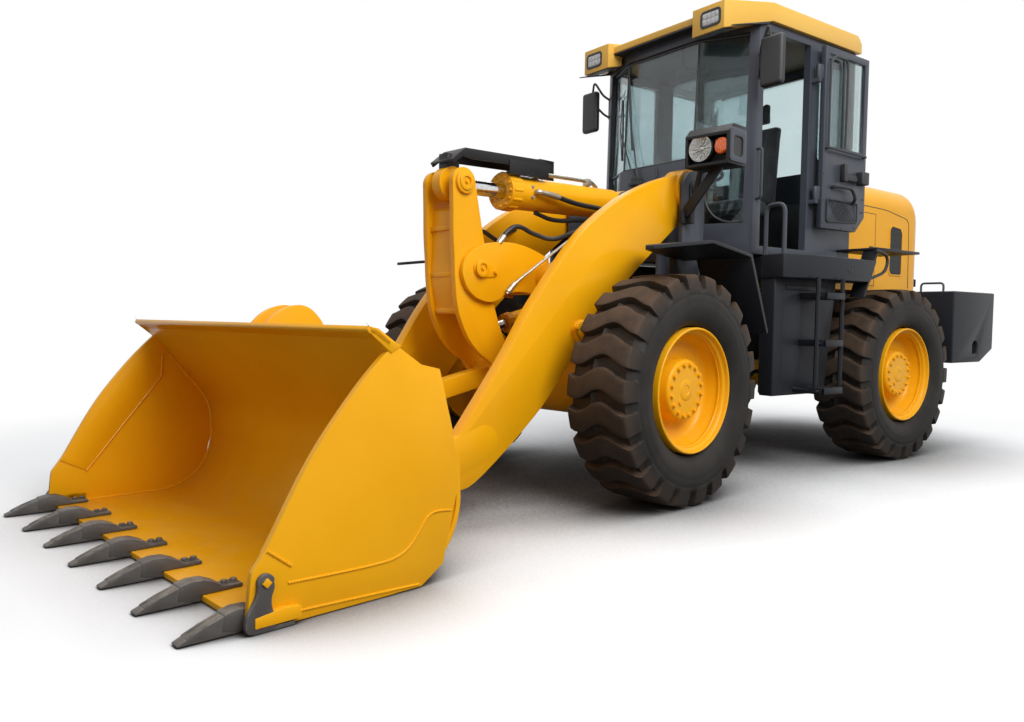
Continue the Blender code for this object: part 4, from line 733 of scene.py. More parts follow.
def makeTyre(side):
    # spun with twelve steps for each lug, then the grooves are pushed in and the rows swept into waves
    half = tyre["profile"]
    rows = list(half) + [(-across, radius, -shift, drop) for across, radius, shift, drop in reversed(half)]
    places = {(round(row[0], 5), round(row[1], 5)): row for row in rows}
    phases, count = tyre["phases"], tyre["lugs"] * len(tyre["phases"])
    bm = bmesh.new()
    verts = [bm.verts.new((radius, across, 0)) for across, radius, shift, drop in rows]
    edges = [bm.edges.new((verts[i - 1], verts[i])) for i in range(len(verts))]
    bmesh.ops.spin(
        bm, geom=verts + edges, cent=(0, 0, 0), axis=(0, -1, 0), angle=2 * pi, steps=count, use_merge=True
    )
    bmesh.ops.remove_doubles(bm, verts=bm.verts, dist=0.00005)
    tread = bm.verts.layers.float.new("tread")
    for vert in bm.verts:
        radius = sqrt(vert.co.x ** 2 + vert.co.z ** 2)
        across, radius, shift, drop = places[round(vert.co.y, 5), round(radius, 5)]
        step = round(atan2(vert.co.z, vert.co.x) * count / (2 * pi)) % count
        lug, phase = divmod(step, len(phases))
        lean = 0.17 * cos(pi * (across / 0.2 - 0.15) / 0.85)
        vert[tread] = max(0.12, min(1.0, (radius - 0.56) / 0.09))
        if phase >= tyre["firstGroove"]:
            bar = 0.5 if -0.05 < across < -0.02 else 1.0
            across += shift
            radius += drop * bar
            vert[tread] *= 0.55
        elif phase in (0, tyre["firstGroove"] - 1) and drop:
            radius -= 0.002
        angle = (lug + phases[phase] + lean) * 2 * pi / tyre["lugs"]
        vert.co = (radius * cos(angle), across, radius * sin(angle))
    bmesh.ops.recalc_face_normals(bm, faces=bm.faces)
    return onSide(bm, side)


rim = {
    "profile": (
        # across and radius, from the inner edge over the flange and the disc to the hub's middle
        (-0.190, 0.352),
        (-0.200, 0.358),
        (-0.197, 0.3655),
        (0.186, 0.3655),
        (0.196, 0.3640),
        (0.2000, 0.3580),
        (0.1975, 0.3515),
        (0.190, 0.3480),
        (0.180, 0.3470),
        (0.172, 0.3420),
        (0.168, 0.3340),
        (0.158, 0.3300),
        (0.150, 0.3295),
        (0.146, 0.3250),
        (0.138, 0.3240),
        (0.132, 0.3270),
        (0.126, 0.3270),
        (0.110, 0.3210),
        (0.075, 0.3120),
        (0.056, 0.3040),
        (0.044, 0.2900),
        (0.036, 0.2650),
        (0.032, 0.2350),
        (0.030, 0.2050),
        (0.036, 0.1900),
        (0.048, 0.1840),
        (0.112, 0.1800),
        (0.122, 0.1780),
        (0.128, 0.1720),
        (0.132, 0.1640),
        (0.1325, 0.1560),
        (0.1325, 0.0620),
        (0.1345, 0.0600),
        (0.1365, 0.0520),
        (0.1370, 0.0300),
        (0.1335, 0.0270),
        (0.1335, 0.0),
        (-0.100, 0.0),
        (-0.100, 0.090),
        (0.000, 0.165),
        (0.000, 0.235),
        (0.018, 0.290),
        (-0.020, 0.332),
    ),
    "bolts": 16,
    "boltRing": 0.149,
    "boltSize": 0.0115,
}


def makeRim():
    shapes = [lathe(rim["profile"], (0, 0, 0), (0, 1, 0), 96)]
    for number in range(rim["bolts"]):
        turn = 2 * pi * (number + 0.5) / rim["bolts"]
        spot = (rim["boltRing"] * cos(turn), 0.132, rim["boltRing"] * sin(turn))
        shapes.append(hexBolt(spot, (0, 1, 0), rim["boltSize"], 0.017))
    shapes.append(drum((0.06, 0.130, -0.07), (0.06, 0.142, -0.07), 0.013, 12))
    shapes.append(drum((0.2, 0.03, 0.18), (0.205, 0.075, 0.186), 0.006, 12))
    return joined(shapes)


for end in ("front", "rear"):
    for label, side in sides:
        spot = Vector(joints[f"spin_{end}_{label}"]["pos_m"])
        turn = frontSpace.to_3x3().to_4x4() if end == "front" else Matrix.Identity(4)
        space = Matrix.Translation(spot) @ turn
        body = f"wheel_{end}_{label}"
        tyreShape, rimShape = makeTyre(side), onSide(makeRim(), side)
        painted(
            f"tyre_{end}_{label}_lugs", tyreShape, body, "tyre_rubber", space, 50, (f"tyre_{end}_{label}",)
        )
        painted(f"rim_{end}_{label}_dish", rimShape, body, "yellow_paint", space, 35, (f"rim_{end}_{label}",))
print("wheels made")

# Cylinders

cylinders = {
    # frame pin and rod pin in the side view, each one's label and place across, radii of barrel and rod,
    # the share that the barrel takes, and how much further from its foot the rod starts
    "tilt": (tiltPin, tiltEye, (("", 0),), 0.105, 0.045, 0.74, 0.21),
    "lift": (liftPin, liftEye, (("_left", 0.3), ("_right", -0.3)), 0.06, 0.035, 0.86, 0.0),
}


def makeBarrel(base, eye, across, radius, rodRadius, share):
    # eye ring, tube and bolted gland
    run = (eye - base).normalized()
    mouth = (eye - base).length * share
    start, bore = radius + 0.005, rodRadius + 0.0006
    ring = [
        (-0.04, 0.0459),
        (-0.04, radius - 0.004),
        (-0.036, radius),
        (0.036, radius),
        (0.04, radius - 0.004),
        (0.04, 0.0459),
    ]
    tubeProfile = [
        (start, 0.0),
        (start, radius - 0.01),
        (start + 0.01, radius),
        (mouth - radius * 1.1, radius),
        (mouth - radius * 1.1, radius * 1.05),
        (mouth - radius * 0.92, radius * 1.05),
        (mouth - radius * 0.9, radius * 1.11),
        (mouth - 0.005, radius * 1.11),
        (mouth, radius * 1.07),
        (mouth, rodRadius + 0.016),
        (mouth - 0.006, rodRadius + 0.012),
        (mouth - 0.008, bore),
        (start + radius, bore),
        (start + radius, 0.0),
    ]
    shapes = [lathe(ring, base, across, 40), lathe(tubeProfile, base, run, 48)]
    shapes.append(drum(base + run * 0.05, base + run * (start + 0.02), min(0.036, radius * 0.9), 24))
    lift = run.cross(across)
    for number in range(12):
        turn = 2 * pi * number / 12
        out = (across * cos(turn) + lift * sin(turn)) * radius
        shapes.append(hexBolt(base + run * mouth + out * 0.9, run, radius * 0.09, radius * 0.1))
        scallop = base + run * (mouth - radius * 0.12) + out * 1.03
        shapes.append(drum(scallop, scallop - run * radius * 0.7, radius * 0.13, 12))
    return joined(shapes)


def makeRod(base, eye, across, radius, rodRadius, retraction):
    run = (eye - base).normalized()
    inner = base + run * (2 * radius + 0.025 + retraction)
    stem = drum(inner, eye - run * rodRadius / 2, rodRadius, 40)
    ring = [
        (-0.04, 0.0),
        (-0.04, radius * 0.95 - 0.003),
        (-0.037, radius * 0.95),
        (0.037, radius * 0.95),
        (0.04, radius * 0.95 - 0.003),
        (0.04, 0.0),
    ]
    return stem, lathe(ring, eye, across, 40)


def showCylinder(name, node, body, base, eye, across, space, sizes):
    radius, rodRadius, share, retraction = sizes
    barrelShape = makeBarrel(base, eye, across, radius, rodRadius, share)
    painted(f"{name}_tube", barrelShape, body[0], "yellow_paint", space, 35, (f"{node}_barrel",))
    stem, ring = makeRod(base, eye, across, radius, rodRadius, retraction)
    painted(f"{name}_stem", stem, body[1], "chrome", space, 35, (f"{node}_rod",))
    show(f"{name}_eye", ring, body[1], finishes["yellow_paint"], space)


for kind, (base, eye, places, radius, rodRadius, share, retraction) in cylinders.items():
    for label, y in places:
        bodies = (f"{kind}_barrel{label}", f"{kind}_rod{label}")
        node = f"{kind}{label}"
        spots = (Vector((base[0], y, base[1])), Vector((eye[0], y, eye[1])))
        sizes = (radius, rodRadius, share, retraction)
        showCylinder(f"{kind}Cylinder{label}", node, bodies, *spots, Vector((0, 1, 0)), frontSpace, sizes)
for label, side in sides:
    base = Vector((-0.62, side * 0.44, 0.74))
    eye = rearSpace.inverted() @ frontSpace @ Vector((0.38, side * 0.30, 0.74))
    bodies = (f"steer_barrel_{label}", f"steer_rod_{label}")
    across, sizes = Vector((0, 0, 1)), (0.04, 0.022, 0.62, 0.285)
    showCylinder(f"steerCylinder_{label}", f"steer_{label}", bodies, base, eye, across, rearSpace, sizes)
print("cylinders made")

# Cab: seals, wipers, lamps, mirrors, door and what is inside


def cabCorner(z):
    # how far forward the cab reaches at this height, at its front facet and at the pillars
    lean = (3.2 - z) / 1.64
    return 0.24 + 0.07 * lean, 0.05 + 0.035 * lean


def screenSpot(y, z, out=0.0):
    # a place on the windscreen, or so far out from it
    front, pillar = cabCorner(z)
    depth = 0.0275 - out
    facet = 0.37 - depth / 2
    if abs(y) <= facet:
        return (front - depth, y, z)
    share = (abs(y) - facet) / (0.76 - depth - facet)
    return (front - depth + share * (pillar - front), y, z)


def closedBar(route, radius, corner):
    # a round bar whose ends meet
    middle = tuple((Vector(route[0]) + Vector(route[1])) / 2)
    return bentBar([middle] + list(route[1:]) + [route[0], middle], radius, corner)


def frameBand(x, z, y, width, depth, corner):
    # a flat ring round an opening in a side wall
    outer = roundedBox(x[0] - width, x[1] + width, z[0] - width, z[1] + width, corner + width)
    inner = roundedBox(x[0], x[1], z[0], z[1], corner)
    return ringPlate(outer, inner, y, y + depth)


def roundedBox(left, right, low, high, corner, steps=5):
    spots = []
    for a, b, first in ((right, high, 0), (left, high, 90), (left, low, 180), (right, low, 270)):
        centre = (a - corner if a == right else a + corner, b - corner if b == high else b + corner)
        spots += arc(centre, corner, first, first + 90, steps)
    return spots


def ringPlate(outer, inner, low, high, axis="Y"):
    # two outlines with as many points each, filled between and given thickness
    bm = bmesh.new()
    rings = [[bm.verts.new(placing[axis](a, b, low)) for a, b in outline] for outline in (outer, inner)]
    edges = [bm.edges.new((ring[i - 1], ring[i])) for ring in rings for i in range(len(ring))]
    bmesh.ops.bridge_loops(bm, edges=edges)
    return thickened(bm, axis, high - low)


def makeSeals():
    shapes = []
    rails = [[screenSpot(y, z, 0.002) for y in (0.695, 0.36, 0, -0.36, -0.695)] for z in (2.266, 3.112)]
    shapes += [bentBar(rail, 0.011, 0.03) for rail in rails]
    for side in (1, -1):
        shapes.append(bentBar([screenSpot(side * 0.695, z, 0.002) for z in (1.79, 2.4, 3.112)], 0.011, 0.02))
        shapes.append(bentBar([screenSpot(side * 0.358, z, 0.004) for z in (2.266, 3.112)], 0.008, 0.02))
        curve = [(0.436, 2.26), (0.436, 2.02), (0.47, 1.88), (0.56, 1.80), (0.695, 1.79)]
        shapes.append(tube([screenSpot(side * y, z, 0.002) for y, z in curve], 0.010))
    for x, z, side in (
        ((-1.08, -0.68), (2.3, 3.12), 1),
        ((-1.08, -0.68), (2.3, 3.12), -1),
        ((-0.5, -0.005), (2.24, 3.12), -1),
    ):
        band = frameBand((x[0] + 0.012, x[1] - 0.012), (z[0] + 0.012, z[1] - 0.012), 0.742, 0.02, 0.012, 0.03)
        shapes.append(onSide(band, side))
    outer = roundedBox(-0.6, 0.6, 2.3, 3.12, 0.05)
    inner = roundedBox(-0.585, 0.585, 2.315, 3.105, 0.04)
    return joined(shapes + [ringPlate(outer, inner, -1.161, -1.125, "X")])


def makeWipers():
    shapes = []
    for foot, elbow, low, high in (
        ((-0.16, 2.17), (-0.30, 2.72), (-0.27, 2.42), (-0.345, 3.0)),
        ((-0.20, 2.17), (-0.43, 2.60), (-0.40, 2.36), (-0.455, 2.86)),
    ):
        hub = Vector(screenSpot(foot[0], foot[1], 0.045))
        shapes.append(drum(hub - Vector((0.03, 0, 0)), hub + Vector((0.012, 0, 0)), 0.022, 16))
        shapes.append(bentBar([hub, screenSpot(elbow[0], elbow[1], 0.03)], 0.006, 0.01))
        route = [screenSpot(*low, 0.016), screenSpot(*elbow, 0.028), screenSpot(*high, 0.016)]
        shapes.append(bentBar(route, 0.005, 0.1))
        shapes.append(bentBar([screenSpot(*low, 0.008), screenSpot(*high, 0.008)], 0.007, 0.01))
    hose = [
        screenSpot(-0.18, 2.15, 0.05),
        screenSpot(-0.05, 2.11, 0.06),
        screenSpot(0.03, 2.17, 0.04),
        screenSpot(0.02, 2.24, 0.03),
    ]
    shapes.append(tube(hose, 0.005))
    shapes.append(easeEdges(block((0.26, 0.315), (-0.26, -0.12), (2.13, 2.16)), 0.008))
    return joined(shapes)


def makeDarkRoof():
    # the headliner, and the dark skin under the visor and the lamp pods
    shapes = [easeEdges(block((-1.09, 0.18), (-0.69, 0.69), (3.165, 3.196)), 0.01)]
    shapes.append(block((0.235, 0.325), (-0.43, 0.43), (3.19, 3.199)))
    slope = [(-0.02, 3.176), (0.378, 3.078), (0.378, 3.083), (-0.02, 3.19)]
    shapes += onBoth(lambda: plate(slope, 0.765, 0.787))
    under = [(0.252, 3.105), (0.378, 3.0735), (0.378, 3.0785), (0.252, 3.11)]
    shapes += onBoth(lambda: plate(under, 0.435, 0.7))
    return joined(shapes)


def makePodLamps():
    # a rounded black frame round each work lamp
    shapes = []
    for side in (1, -1):
        outer = roundedBox(0.505, 0.685, 3.115, 3.235, 0.03)
        inner = roundedBox(0.523, 0.667, 3.133, 3.217, 0.02)
        ring = easeEdges(ringPlate(outer, inner, 0.382, 0.3895, "X"), 0.002)
        shapes.append(onSide(ring, side))
    return joined(shapes)


def makePodLenses():
    shapes = []
    for side in (1, -1):
        shapes.append(onSide(block((0.383, 0.3865), (0.52, 0.67), (3.13, 3.22)), side))
        for row in (0, 1):
            for column in range(4):
                y, z = 0.541 + 0.036 * column, 3.155 + 0.041 * row
                cell = easeEdges(
                    block((0.386, 0.3893), (y - 0.0155, y + 0.0155), (z - 0.018, z + 0.018)), 0.002
                )
                shapes.append(onSide(cell, side))
    return joined(shapes)


mirror = {"x": (0.09, 0.15), "y": (0.83, 1.01), "z": (2.69, 3.03)}


def makeMirror():
    housing = block(mirror["x"], mirror["y"], mirror["z"])
    easeEdges(housing, 0.026, 5)
    glass = block((0.0885, 0.0905), (0.85, 0.99), (2.71, 3.01))
    arms = [
        bentBar(
            [(0.045, 0.765, 2.95), (0.09, 0.80, 2.985), (0.12, 0.884, 3.118), (0.12, 0.9, 3.02)],
            0.0095,
            0.045,
        ),
        bentBar([(0.045, 0.765, 2.80), (0.09, 0.795, 2.83), (0.12, 0.85, 2.9)], 0.0095, 0.03),
        easeEdges(block((0.035, 0.055), (0.7603, 0.772), (2.785, 2.965)), 0.003),
    ]
    return joined([housing, glass] + arms)


def makeDoorTrim():
    # on the face that shows while the door is folded back: loop, cross bar, latch, handle and rivets
    y = 0.847
    route = [
        (-0.675, y + 0.012, 2.40),
        (-0.675, y + 0.012, 3.02),
        (-0.73, y + 0.012, 3.075),
        (-0.89, y + 0.012, 3.075),
        (-0.905, y + 0.012, 3.0),
        (-0.9, y + 0.012, 2.41),
    ]
    shapes = [bentBar(route, 0.009, 0.03)]
    route = [
        (-0.66, y - 0.002, 2.385),
        (-0.66, y + 0.03, 2.385),
        (-1.17, y + 0.03, 2.375),
        (-1.17, y - 0.002, 2.375),
    ]
    shapes.append(bentBar(route, 0.009, 0.02))
    shapes.append(easeEdges(block((-0.915, -0.889), (0.826, 0.834), (2.41, 3.09)), 0.002))
    latch = easeEdges(block((-1.185, -1.09), (y - 0.01, y + 0.055), (2.155, 2.255)), 0.01, 3)
    knob = easeEdges(block((-1.06, -0.86), (y, y + 0.03), (2.17, 2.215)), 0.008, 3)
    lever = easeEdges(block((-0.90, -0.86), (y, y + 0.045), (2.155, 2.29)), 0.008, 3)
    rodLink = drum((-1.14, y + 0.012, 2.2), (-1.05, y + 0.012, 2.19), 0.008, 12)
    shapes += [latch, knob, lever, rodLink]
    route = [
        (-0.75, y - 0.004, 2.10),
        (-0.75, y + 0.035, 2.11),
        (-0.98, y + 0.035, 2.11),
        (-1.03, y + 0.035, 2.03),
        (-1.04, y - 0.004, 2.0),
    ]
    shapes.append(bentBar(route, 0.013, 0.05))
    for x, z in (
        (-0.645, 2.2), (-0.645, 2.0), (-0.645, 1.83), (-1.19, 2.05), (-1.19, 1.95), (-0.9, 1.805),
        (-1.08, 1.82),
    ):
        shapes.append(drum((x, y - 0.002, z), (x, y + 0.0025, z), 0.008, 12, 0.005))
    return joined(shapes)


def makeNet():
    # a stretched net pocket: crossing cords in a bound frame
    route = [(-0.69, 0.853, 2.01), (-1.10, 0.853, 2.01), (-1.10, 0.853, 1.86), (-0.69, 0.853, 1.84)]
    shapes = [closedBar(route, 0.006, 0.02)]
    for number in range(-4, 12):
        start = -0.70 - number * 0.036
        for lean in (1, -1):
            a, b = start, start - lean * 0.16
            if max(a, b) < -0.69 and min(a, b) > -1.10:
                shapes.append(drum((a, 0.853, 2.008), (b, 0.853, 1.85), 0.0025, 6))
    return joined(shapes)


def makeCabBars():
    # grab rails beside the doorway
    route = [(0.01, 0.675, 1.75), (-0.045, 0.675, 1.78), (-0.045, 0.675, 2.9), (0.01, 0.675, 2.93)]
    shapes = [bentBar(route, 0.013, 0.03)]
    route = [(0.045, 0.755, 1.95), (0.045, 0.80, 1.95), (0.045, 0.80, 2.3), (0.045, 0.755, 2.3)]
    shapes.append(bentBar(route, 0.011, 0.03))
    return joined(shapes)


def makeInside():
    # consoles beside the seat, levers, heater box and rear-view mirror
    shapes = [easeEdges(block((-0.92, -0.3), (-0.62, -0.42), (1.62, 2.12)), 0.03, 3)]
    shapes.append(easeEdges(block((-0.5, -0.32), (-0.6, -0.44), (2.1, 2.18)), 0.02, 3))
    for x in (-0.44, -0.37):
        shapes.append(drum((x, -0.52, 2.15), (x + 0.03, -0.51, 2.34), 0.008, 12))
        shapes.append(drum((x + 0.028, -0.51, 2.32), (x + 0.038, -0.508, 2.39), 0.02, 16, 0.014))
    shapes.append(easeEdges(block((-1.09, -0.98), (-0.6, 0.6), (1.62, 2.05)), 0.02, 3))
    shapes.append(bentBar([(0.1, 0.1, 3.17), (0.1, 0.1, 3.03), (0.09, 0.15, 2.98)], 0.007, 0.03))
    shapes.append(easeEdges(block((0.07, 0.095), (0.07, 0.33), (2.9, 2.98)), 0.012, 3))
    return joined(shapes)


cabPieces = (
    ("cab_seals", makeSeals, hoseRubber, "black_paint"),
    ("cab_wipers", makeWipers, mirrorPlastic, "black_paint"),
    ("cab_headliner", makeDarkRoof, mirrorPlastic, "black_paint"),
    ("cab_lampFrames", makePodLamps, mirrorPlastic, "black_paint"),
    ("cab_lampLenses", makePodLenses, lampLens, "glass"),
    ("cab_rails", makeCabBars, finishes["grey_paint"], "grey_paint"),
    ("cab_inside", makeInside, mirrorPlastic, "black_paint"),
)
for name, make, finish, slot in cabPieces:
    show(name, make(), "rear_body", finish, rearSpace)
for label, side in sides:
    show(
        f"mirror_{label}_shell",
        onSide(makeMirror(), side),
        "rear_body",
        mirrorPlastic,
        rearSpace,
        40,
        (f"mirror_{label}",),
    )
show("door_trim", makeDoorTrim(), "door", mirrorPlastic, rearSpace)
show("door_net", makeNet(), "door", hoseRubber, rearSpace)
print("cab made")

# Deck, tank, steps and rails


def makeDeck():
    # the deck's box and the tank under it, both notched for the steered front frame
    deckOutline = [
        (-0.87, 0.6), (-0.03, 0.6), (-0.03, 0.865), (0.11, 0.865), (0.11, 1.05), (-0.16, 1.12),
        (-0.87, 1.12),
    ]
    tankOutline = [(-0.53, 0.76), (-0.03, 0.76), (-0.03, 0.865), (0.10, 0.865), (0.10, 0.98), (-0.53, 0.98)]
    deck = plate(deckOutline, 1.38, 1.545, "Z")
    tank = plate(tankOutline, 0.56, 1.39, "Z")
    for shape, rear, above, moved in ((deck, -0.8, 1.5, -0.95), (tank, -0.5, 1.0, -0.65)):
        for corner in shape.verts:
            if corner.co.x < rear and corner.co.z > above:
                corner.co.x = moved
    shapes = [easeEdges(deck, 0.008, 3), easeEdges(tank, 0.012, 3)]
    shapes.append(easeEdges(block((-0.64, -0.54), (0.29, 0.78), (1.0, 1.2)), 0.006))
    shapes.append(easeEdges(block((-0.53, -0.02), (0.965, 0.985), (1.3, 1.34)), 0.004))
    return joined(shapes)


def makeSteps():
    # two rails and three treads with toothed edges
    shapes = []
    for x in (-0.45, -0.15):
        shapes.append(bentBar([(x, 0.965, 0.6), (x, 1.15, 0.6), (x, 1.15, 1.39)], 0.016, 0.05))
    for z in (0.575, 0.91, 1.24):
        for y in (0.965, 1.178):
            shapes.append(easeEdges(block((-0.43, -0.19), (y, y + 0.012), (z, z + 0.045)), 0.002))
        for x in (-0.43, -0.205):
            shapes.append(easeEdges(block((x, x + 0.015), (0.965, 1.19), (z, z + 0.045)), 0.002))
        for number in range(4):
            y = 1.005 + 0.043 * number
            shapes.append(block((-0.425, -0.195), (y, y + 0.006), (z + 0.004, z + 0.04)))
            for tooth in range(7):
                x = -0.41 + 0.032 * tooth
                shapes.append(drum((x, y + 0.003, z + 0.036), (x, y + 0.003, z + 0.046), 0.007, 6, 0.003))
        for x in (-0.45, -0.15):
            shapes.append(
                drum((x, 1.15, z + 0.022), (x + (0.03 if x < -0.3 else -0.05), 1.15, z + 0.022), 0.009, 10)
            )
    return joined(shapes)


def makeHoop():
    # the grab rail on the deck
    route = [(0.085, 0.88, 1.40), (0.085, 0.88, 1.885), (0.085, 1.03, 1.885), (0.085, 1.03, 1.40)]
    return bentBar(route, 0.016, 0.06)


def makeDeckTrim():
    # plugs in the deck's band, tank cap and drain plug
    shapes = []
    for x, z in ((-0.575, 1.455), (-0.61, 1.455)):
        shapes.append(drum((x, 1.117, z), (x, 1.123, z), 0.011, 16))
    shapes.append(drum((-0.1, 0.92, 1.543), (-0.1, 0.92, 1.553), 0.045, 24))
    return joined(shapes)


for label, side in sides:
    show(
        f"deck_{label}_body",
        onSide(makeDeck(), side),
        "rear_body",
        darkGrey,
        rearSpace,
        35,
        (f"deck_{label}",),
    )
    show(f"deck_{label}_steps", onSide(makeSteps(), side), "rear_body", darkGrey, rearSpace)
    painted(f"deck_{label}_hoop", onSide(makeHoop(), side), "rear_body", "grey_paint", rearSpace)
    show(
        f"deck_{label}_plugs",
        onSide(makeDeckTrim(), side),
        "rear_body",
        mirrorPlastic,
        rearSpace,
    )
print("decks made")

# Linkage trim: pin keepers, gland pipes, hoses and weld beads

keepers = {
    # body, pin, bolt, the face's place across, radii round pin and bolt
    "bracket": ("boom", crankPin, (2.13, 1.35), 0.1755, 0.055, 0.026),
    "tower": ("front_body", boomPin, (0.725, 1.83), 0.6055, 0.06, 0.03),
}


def keeper(pin, bolt, face, wide, narrow, rise=0.009):
    # a plate like a drop round the pin's end, held by one bolt
    heading = atan2(bolt[1] - pin[1], bolt[0] - pin[0]) * 180 / pi
    outline = arc(pin, wide, heading + 80, heading + 280, 14)
    outline += arc(bolt, narrow, heading - 80, heading + 80, 8)
    shapes = [easeEdges(plate(outline, face, face + rise), 0.002)]
    shapes.append(hexBolt((bolt[0], face + rise, bolt[1]), (0, 1, 0), 0.014, 0.014))
    profile = [(0, 0.0), (0, 0.026), (0.008, 0.026), (0.010, 0.023), (0.004, 0.018), (0.004, 0.0)]
    shapes.append(lathe(profile, (pin[0], face + rise, pin[1]), (0, 1, 0), 24))
    return joined(shapes)


for name, (body, pin, bolt, face, wide, narrow) in keepers.items():
    finish = "grey_paint" if name == "tower" else "yellow_paint"
    both = joined(onBoth(lambda: keeper(pin, bolt, face, wide, narrow)))
    painted(f"keeper_{name}", both, body, finish, frontSpace)


def bead(route, radius=0.006):
    # a run of weld: overlapping ripples along a line
    spots = [Vector(spot) for spot in route]
    shapes = []
    for start, end in zip(spots, spots[1:]):
        count = max(1, round((end - start).length / 0.012))
        along = (end - start) / count
        for number in range(count):
            middle = start + along * (number + 0.5)
            shapes.append(drum(middle - along * 0.55, middle + along * 0.55, radius, 8, radius * 0.75))
    return joined(shapes)


bucket = {
    "half": 1.2,
    "side": 0.026,
    "wall": 0.022,
    "floor": 0.0045,
    "heel": (3.585, 0.344, 0.34),
    "knee": (3.272, 0.56),
    "lip": (3.70, 1.044),
    "mouth": (4.16, 0.0045),
    # the cheek's free edge, a curve, and the rest of its outline, straight from corner to corner
    "edge": (
        (4.163, 0.208), (4.108, 0.285), (4.04, 0.405), (3.98, 0.508), (3.92, 0.6), (3.852, 0.69),
        (3.76, 0.80), (3.69, 0.875), (3.62, 0.942), (3.576, 0.972),
    ),
    "rim": (
        (3.452, 0.892), (3.36, 0.872), (3.289, 0.617), (3.2565, 0.394), (3.336, 0.075), (3.445, 0.0045),
        (4.02, 0.0045), (4.165, 0.0045), (4.18, 0.06), (4.168, 0.182),
    ),
    "band": ((3.99, 0.193), (3.574, 0.707), (3.566, 0.831), (3.44, 0.87)),
    "earRoot": (
        (3.31, 0.05), (3.262, 0.2), (3.262, 0.34), (3.274, 0.5), (3.281, 0.562), (3.40, 0.712),
        (3.53, 0.868), (3.5, 0.93), (3.42, 0.9),
    ),
    "linkFoot": ((3.262, 0.3), (3.268, 0.45), (3.281, 0.562), (3.40, 0.712), (3.53, 0.868), (3.582, 0.925)),
    "linkHead": (
        (3.575, 0.97), (3.54, 1.04), (3.47, 1.1), (3.38, 1.13), (3.31, 1.12), (3.25, 1.07), (3.21, 1.0),
        (3.10, 0.72),
    ),
}


def shellLine(inset):
    # floor, heel, back and lip, seen from the side, so far in from the outside
    x, z, radius = bucket["heel"]
    heel = arc((x, z), radius - inset, 270, 181, 16)
    knee = [(bucket["knee"][0] + inset, bucket["knee"][1] - inset / 2)]
    lip = (bucket["lip"][0] - inset * 0.7, bucket["lip"][1] - inset * 0.6)
    back = smoothLine([heel[-1], knee[0], (3.455 + inset * 0.75, 0.79 - inset * 0.6), lip], 4)[1:]
    return [(bucket["mouth"][0], bucket["mouth"][1] + inset)] + heel + back


def makeBucket():
    # a rolled shell, two cheeks with their edge bands, the lip's blade, and the ears on the back
    half, side = bucket["half"], bucket["side"]
    shell = plate(shellLine(0) + shellLine(bucket["wall"])[::-1], -half + 0.001, half - 0.001)
    shapes = [easeEdges(shell, 0.003, 2, 40)]
    cheek = smoothLine(bucket["edge"], 4) + list(bucket["rim"])
    shapes += onBoth(lambda: easeEdges(plate(cheek, half - side, half), 0.004, 2, 25))
    band = smoothLine(bucket["edge"], 4)[3:] + list(bucket["band"])[::-1]
    shapes += onBoth(lambda: easeEdges(plate(band, half - side - 0.006, half - side + 0.002), 0.003, 2, 25))
    blade = [
        (3.70, 1.0448), (3.664, 1.033), (3.60, 0.985), (3.612, 0.965), (3.672, 1.006), (3.704, 1.018),
        (3.71, 1.03),
    ]
    shapes.append(easeEdges(plate(blade, -half - 0.004, half + 0.004), 0.004, 2, 40))
    endPlate = [(3.704, 1.042), (3.69, 1.012), (3.60, 0.94), (3.55, 0.968), (3.575, 0.978), (3.66, 1.035)]
    shapes += onBoth(lambda: easeEdges(plate(endPlate, half - 0.004, half + 0.004), 0.002, 2, 40))
    tab = [(4.163, 0.022), (4.163, 0.058), (4.06, 0.072), (3.99, 0.066), (3.99, 0.022)]
    shapes += onBoth(lambda: easeEdges(plate(tab, half - side, half + 0.024), 0.003, 2, 40))
    ear = arc(bucketPin, 0.105, 90, 270, 16) + list(bucket["earRoot"])
    for low in (0.545, 0.425):
        shapes += onBoth(lambda: easeEdges(plate(ear, low, low + 0.03), 0.004, 2, 25))
    shapes += onBoth(lambda: crossDrum(bucketPin, 0.42, 0.58, 0.045, 32))
    hook = arc(linkPin, 0.09, 155, 290, 14) + list(bucket["linkFoot"]) + smoothLine(bucket["linkHead"], 3)
    shapes += onBoth(lambda: easeEdges(plate(hook, 0.055, 0.085), 0.004, 2, 40))
    shapes.append(crossDrum(linkPin, -0.1, 0.1, 0.045, 32))
    return joined(shapes)


def makeBucketWelds():
    outside = smoothLine(
        [
            (4.03, 0.148), (3.85, 0.142), (3.678, 0.139), (3.58, 0.145), (3.51, 0.175), (3.46, 0.23),
            (3.42, 0.281), (3.37, 0.297), (3.297, 0.29),
        ],
        3,
    )
    foot = [(4.03, 0.041), (3.459, 0.017)]
    shapes = []
    for route in (outside, foot):
        shapes += onBoth(lambda: bead([(x, 1.2, z) for x, z in route]))
    inner = [(x, z) for x, z in shellLine(bucket["wall"] + 0.002)[:-3]]
    shapes += onBoth(lambda: bead([(x, 1.173, z) for x, z in inner], 0.008))
    shapes += onBoth(lambda: bead([(x, 1.167, z) for x, z in bucket["band"][:3]], 0.006))
    shapes += onBoth(lambda: bead([(4.108, 1.2, 0.275), (4.017, 1.2, 0.206)], 0.007))
    back = [(3.266, 0.5), (3.270, 0.56), (3.40, 0.722), (3.52, 0.866)]
    for y in (0.42, 0.58):
        shapes += onBoth(lambda: bead([(x, y, z) for x, z in back], 0.006))
    return joined(shapes)


painted("bucket_welds", makeBucketWelds(), "bucket", "yellow_paint", frontSpace)
painted("bucket_shell", makeBucket(), "bucket", "yellow_paint", frontSpace, 35, ("bucket",))

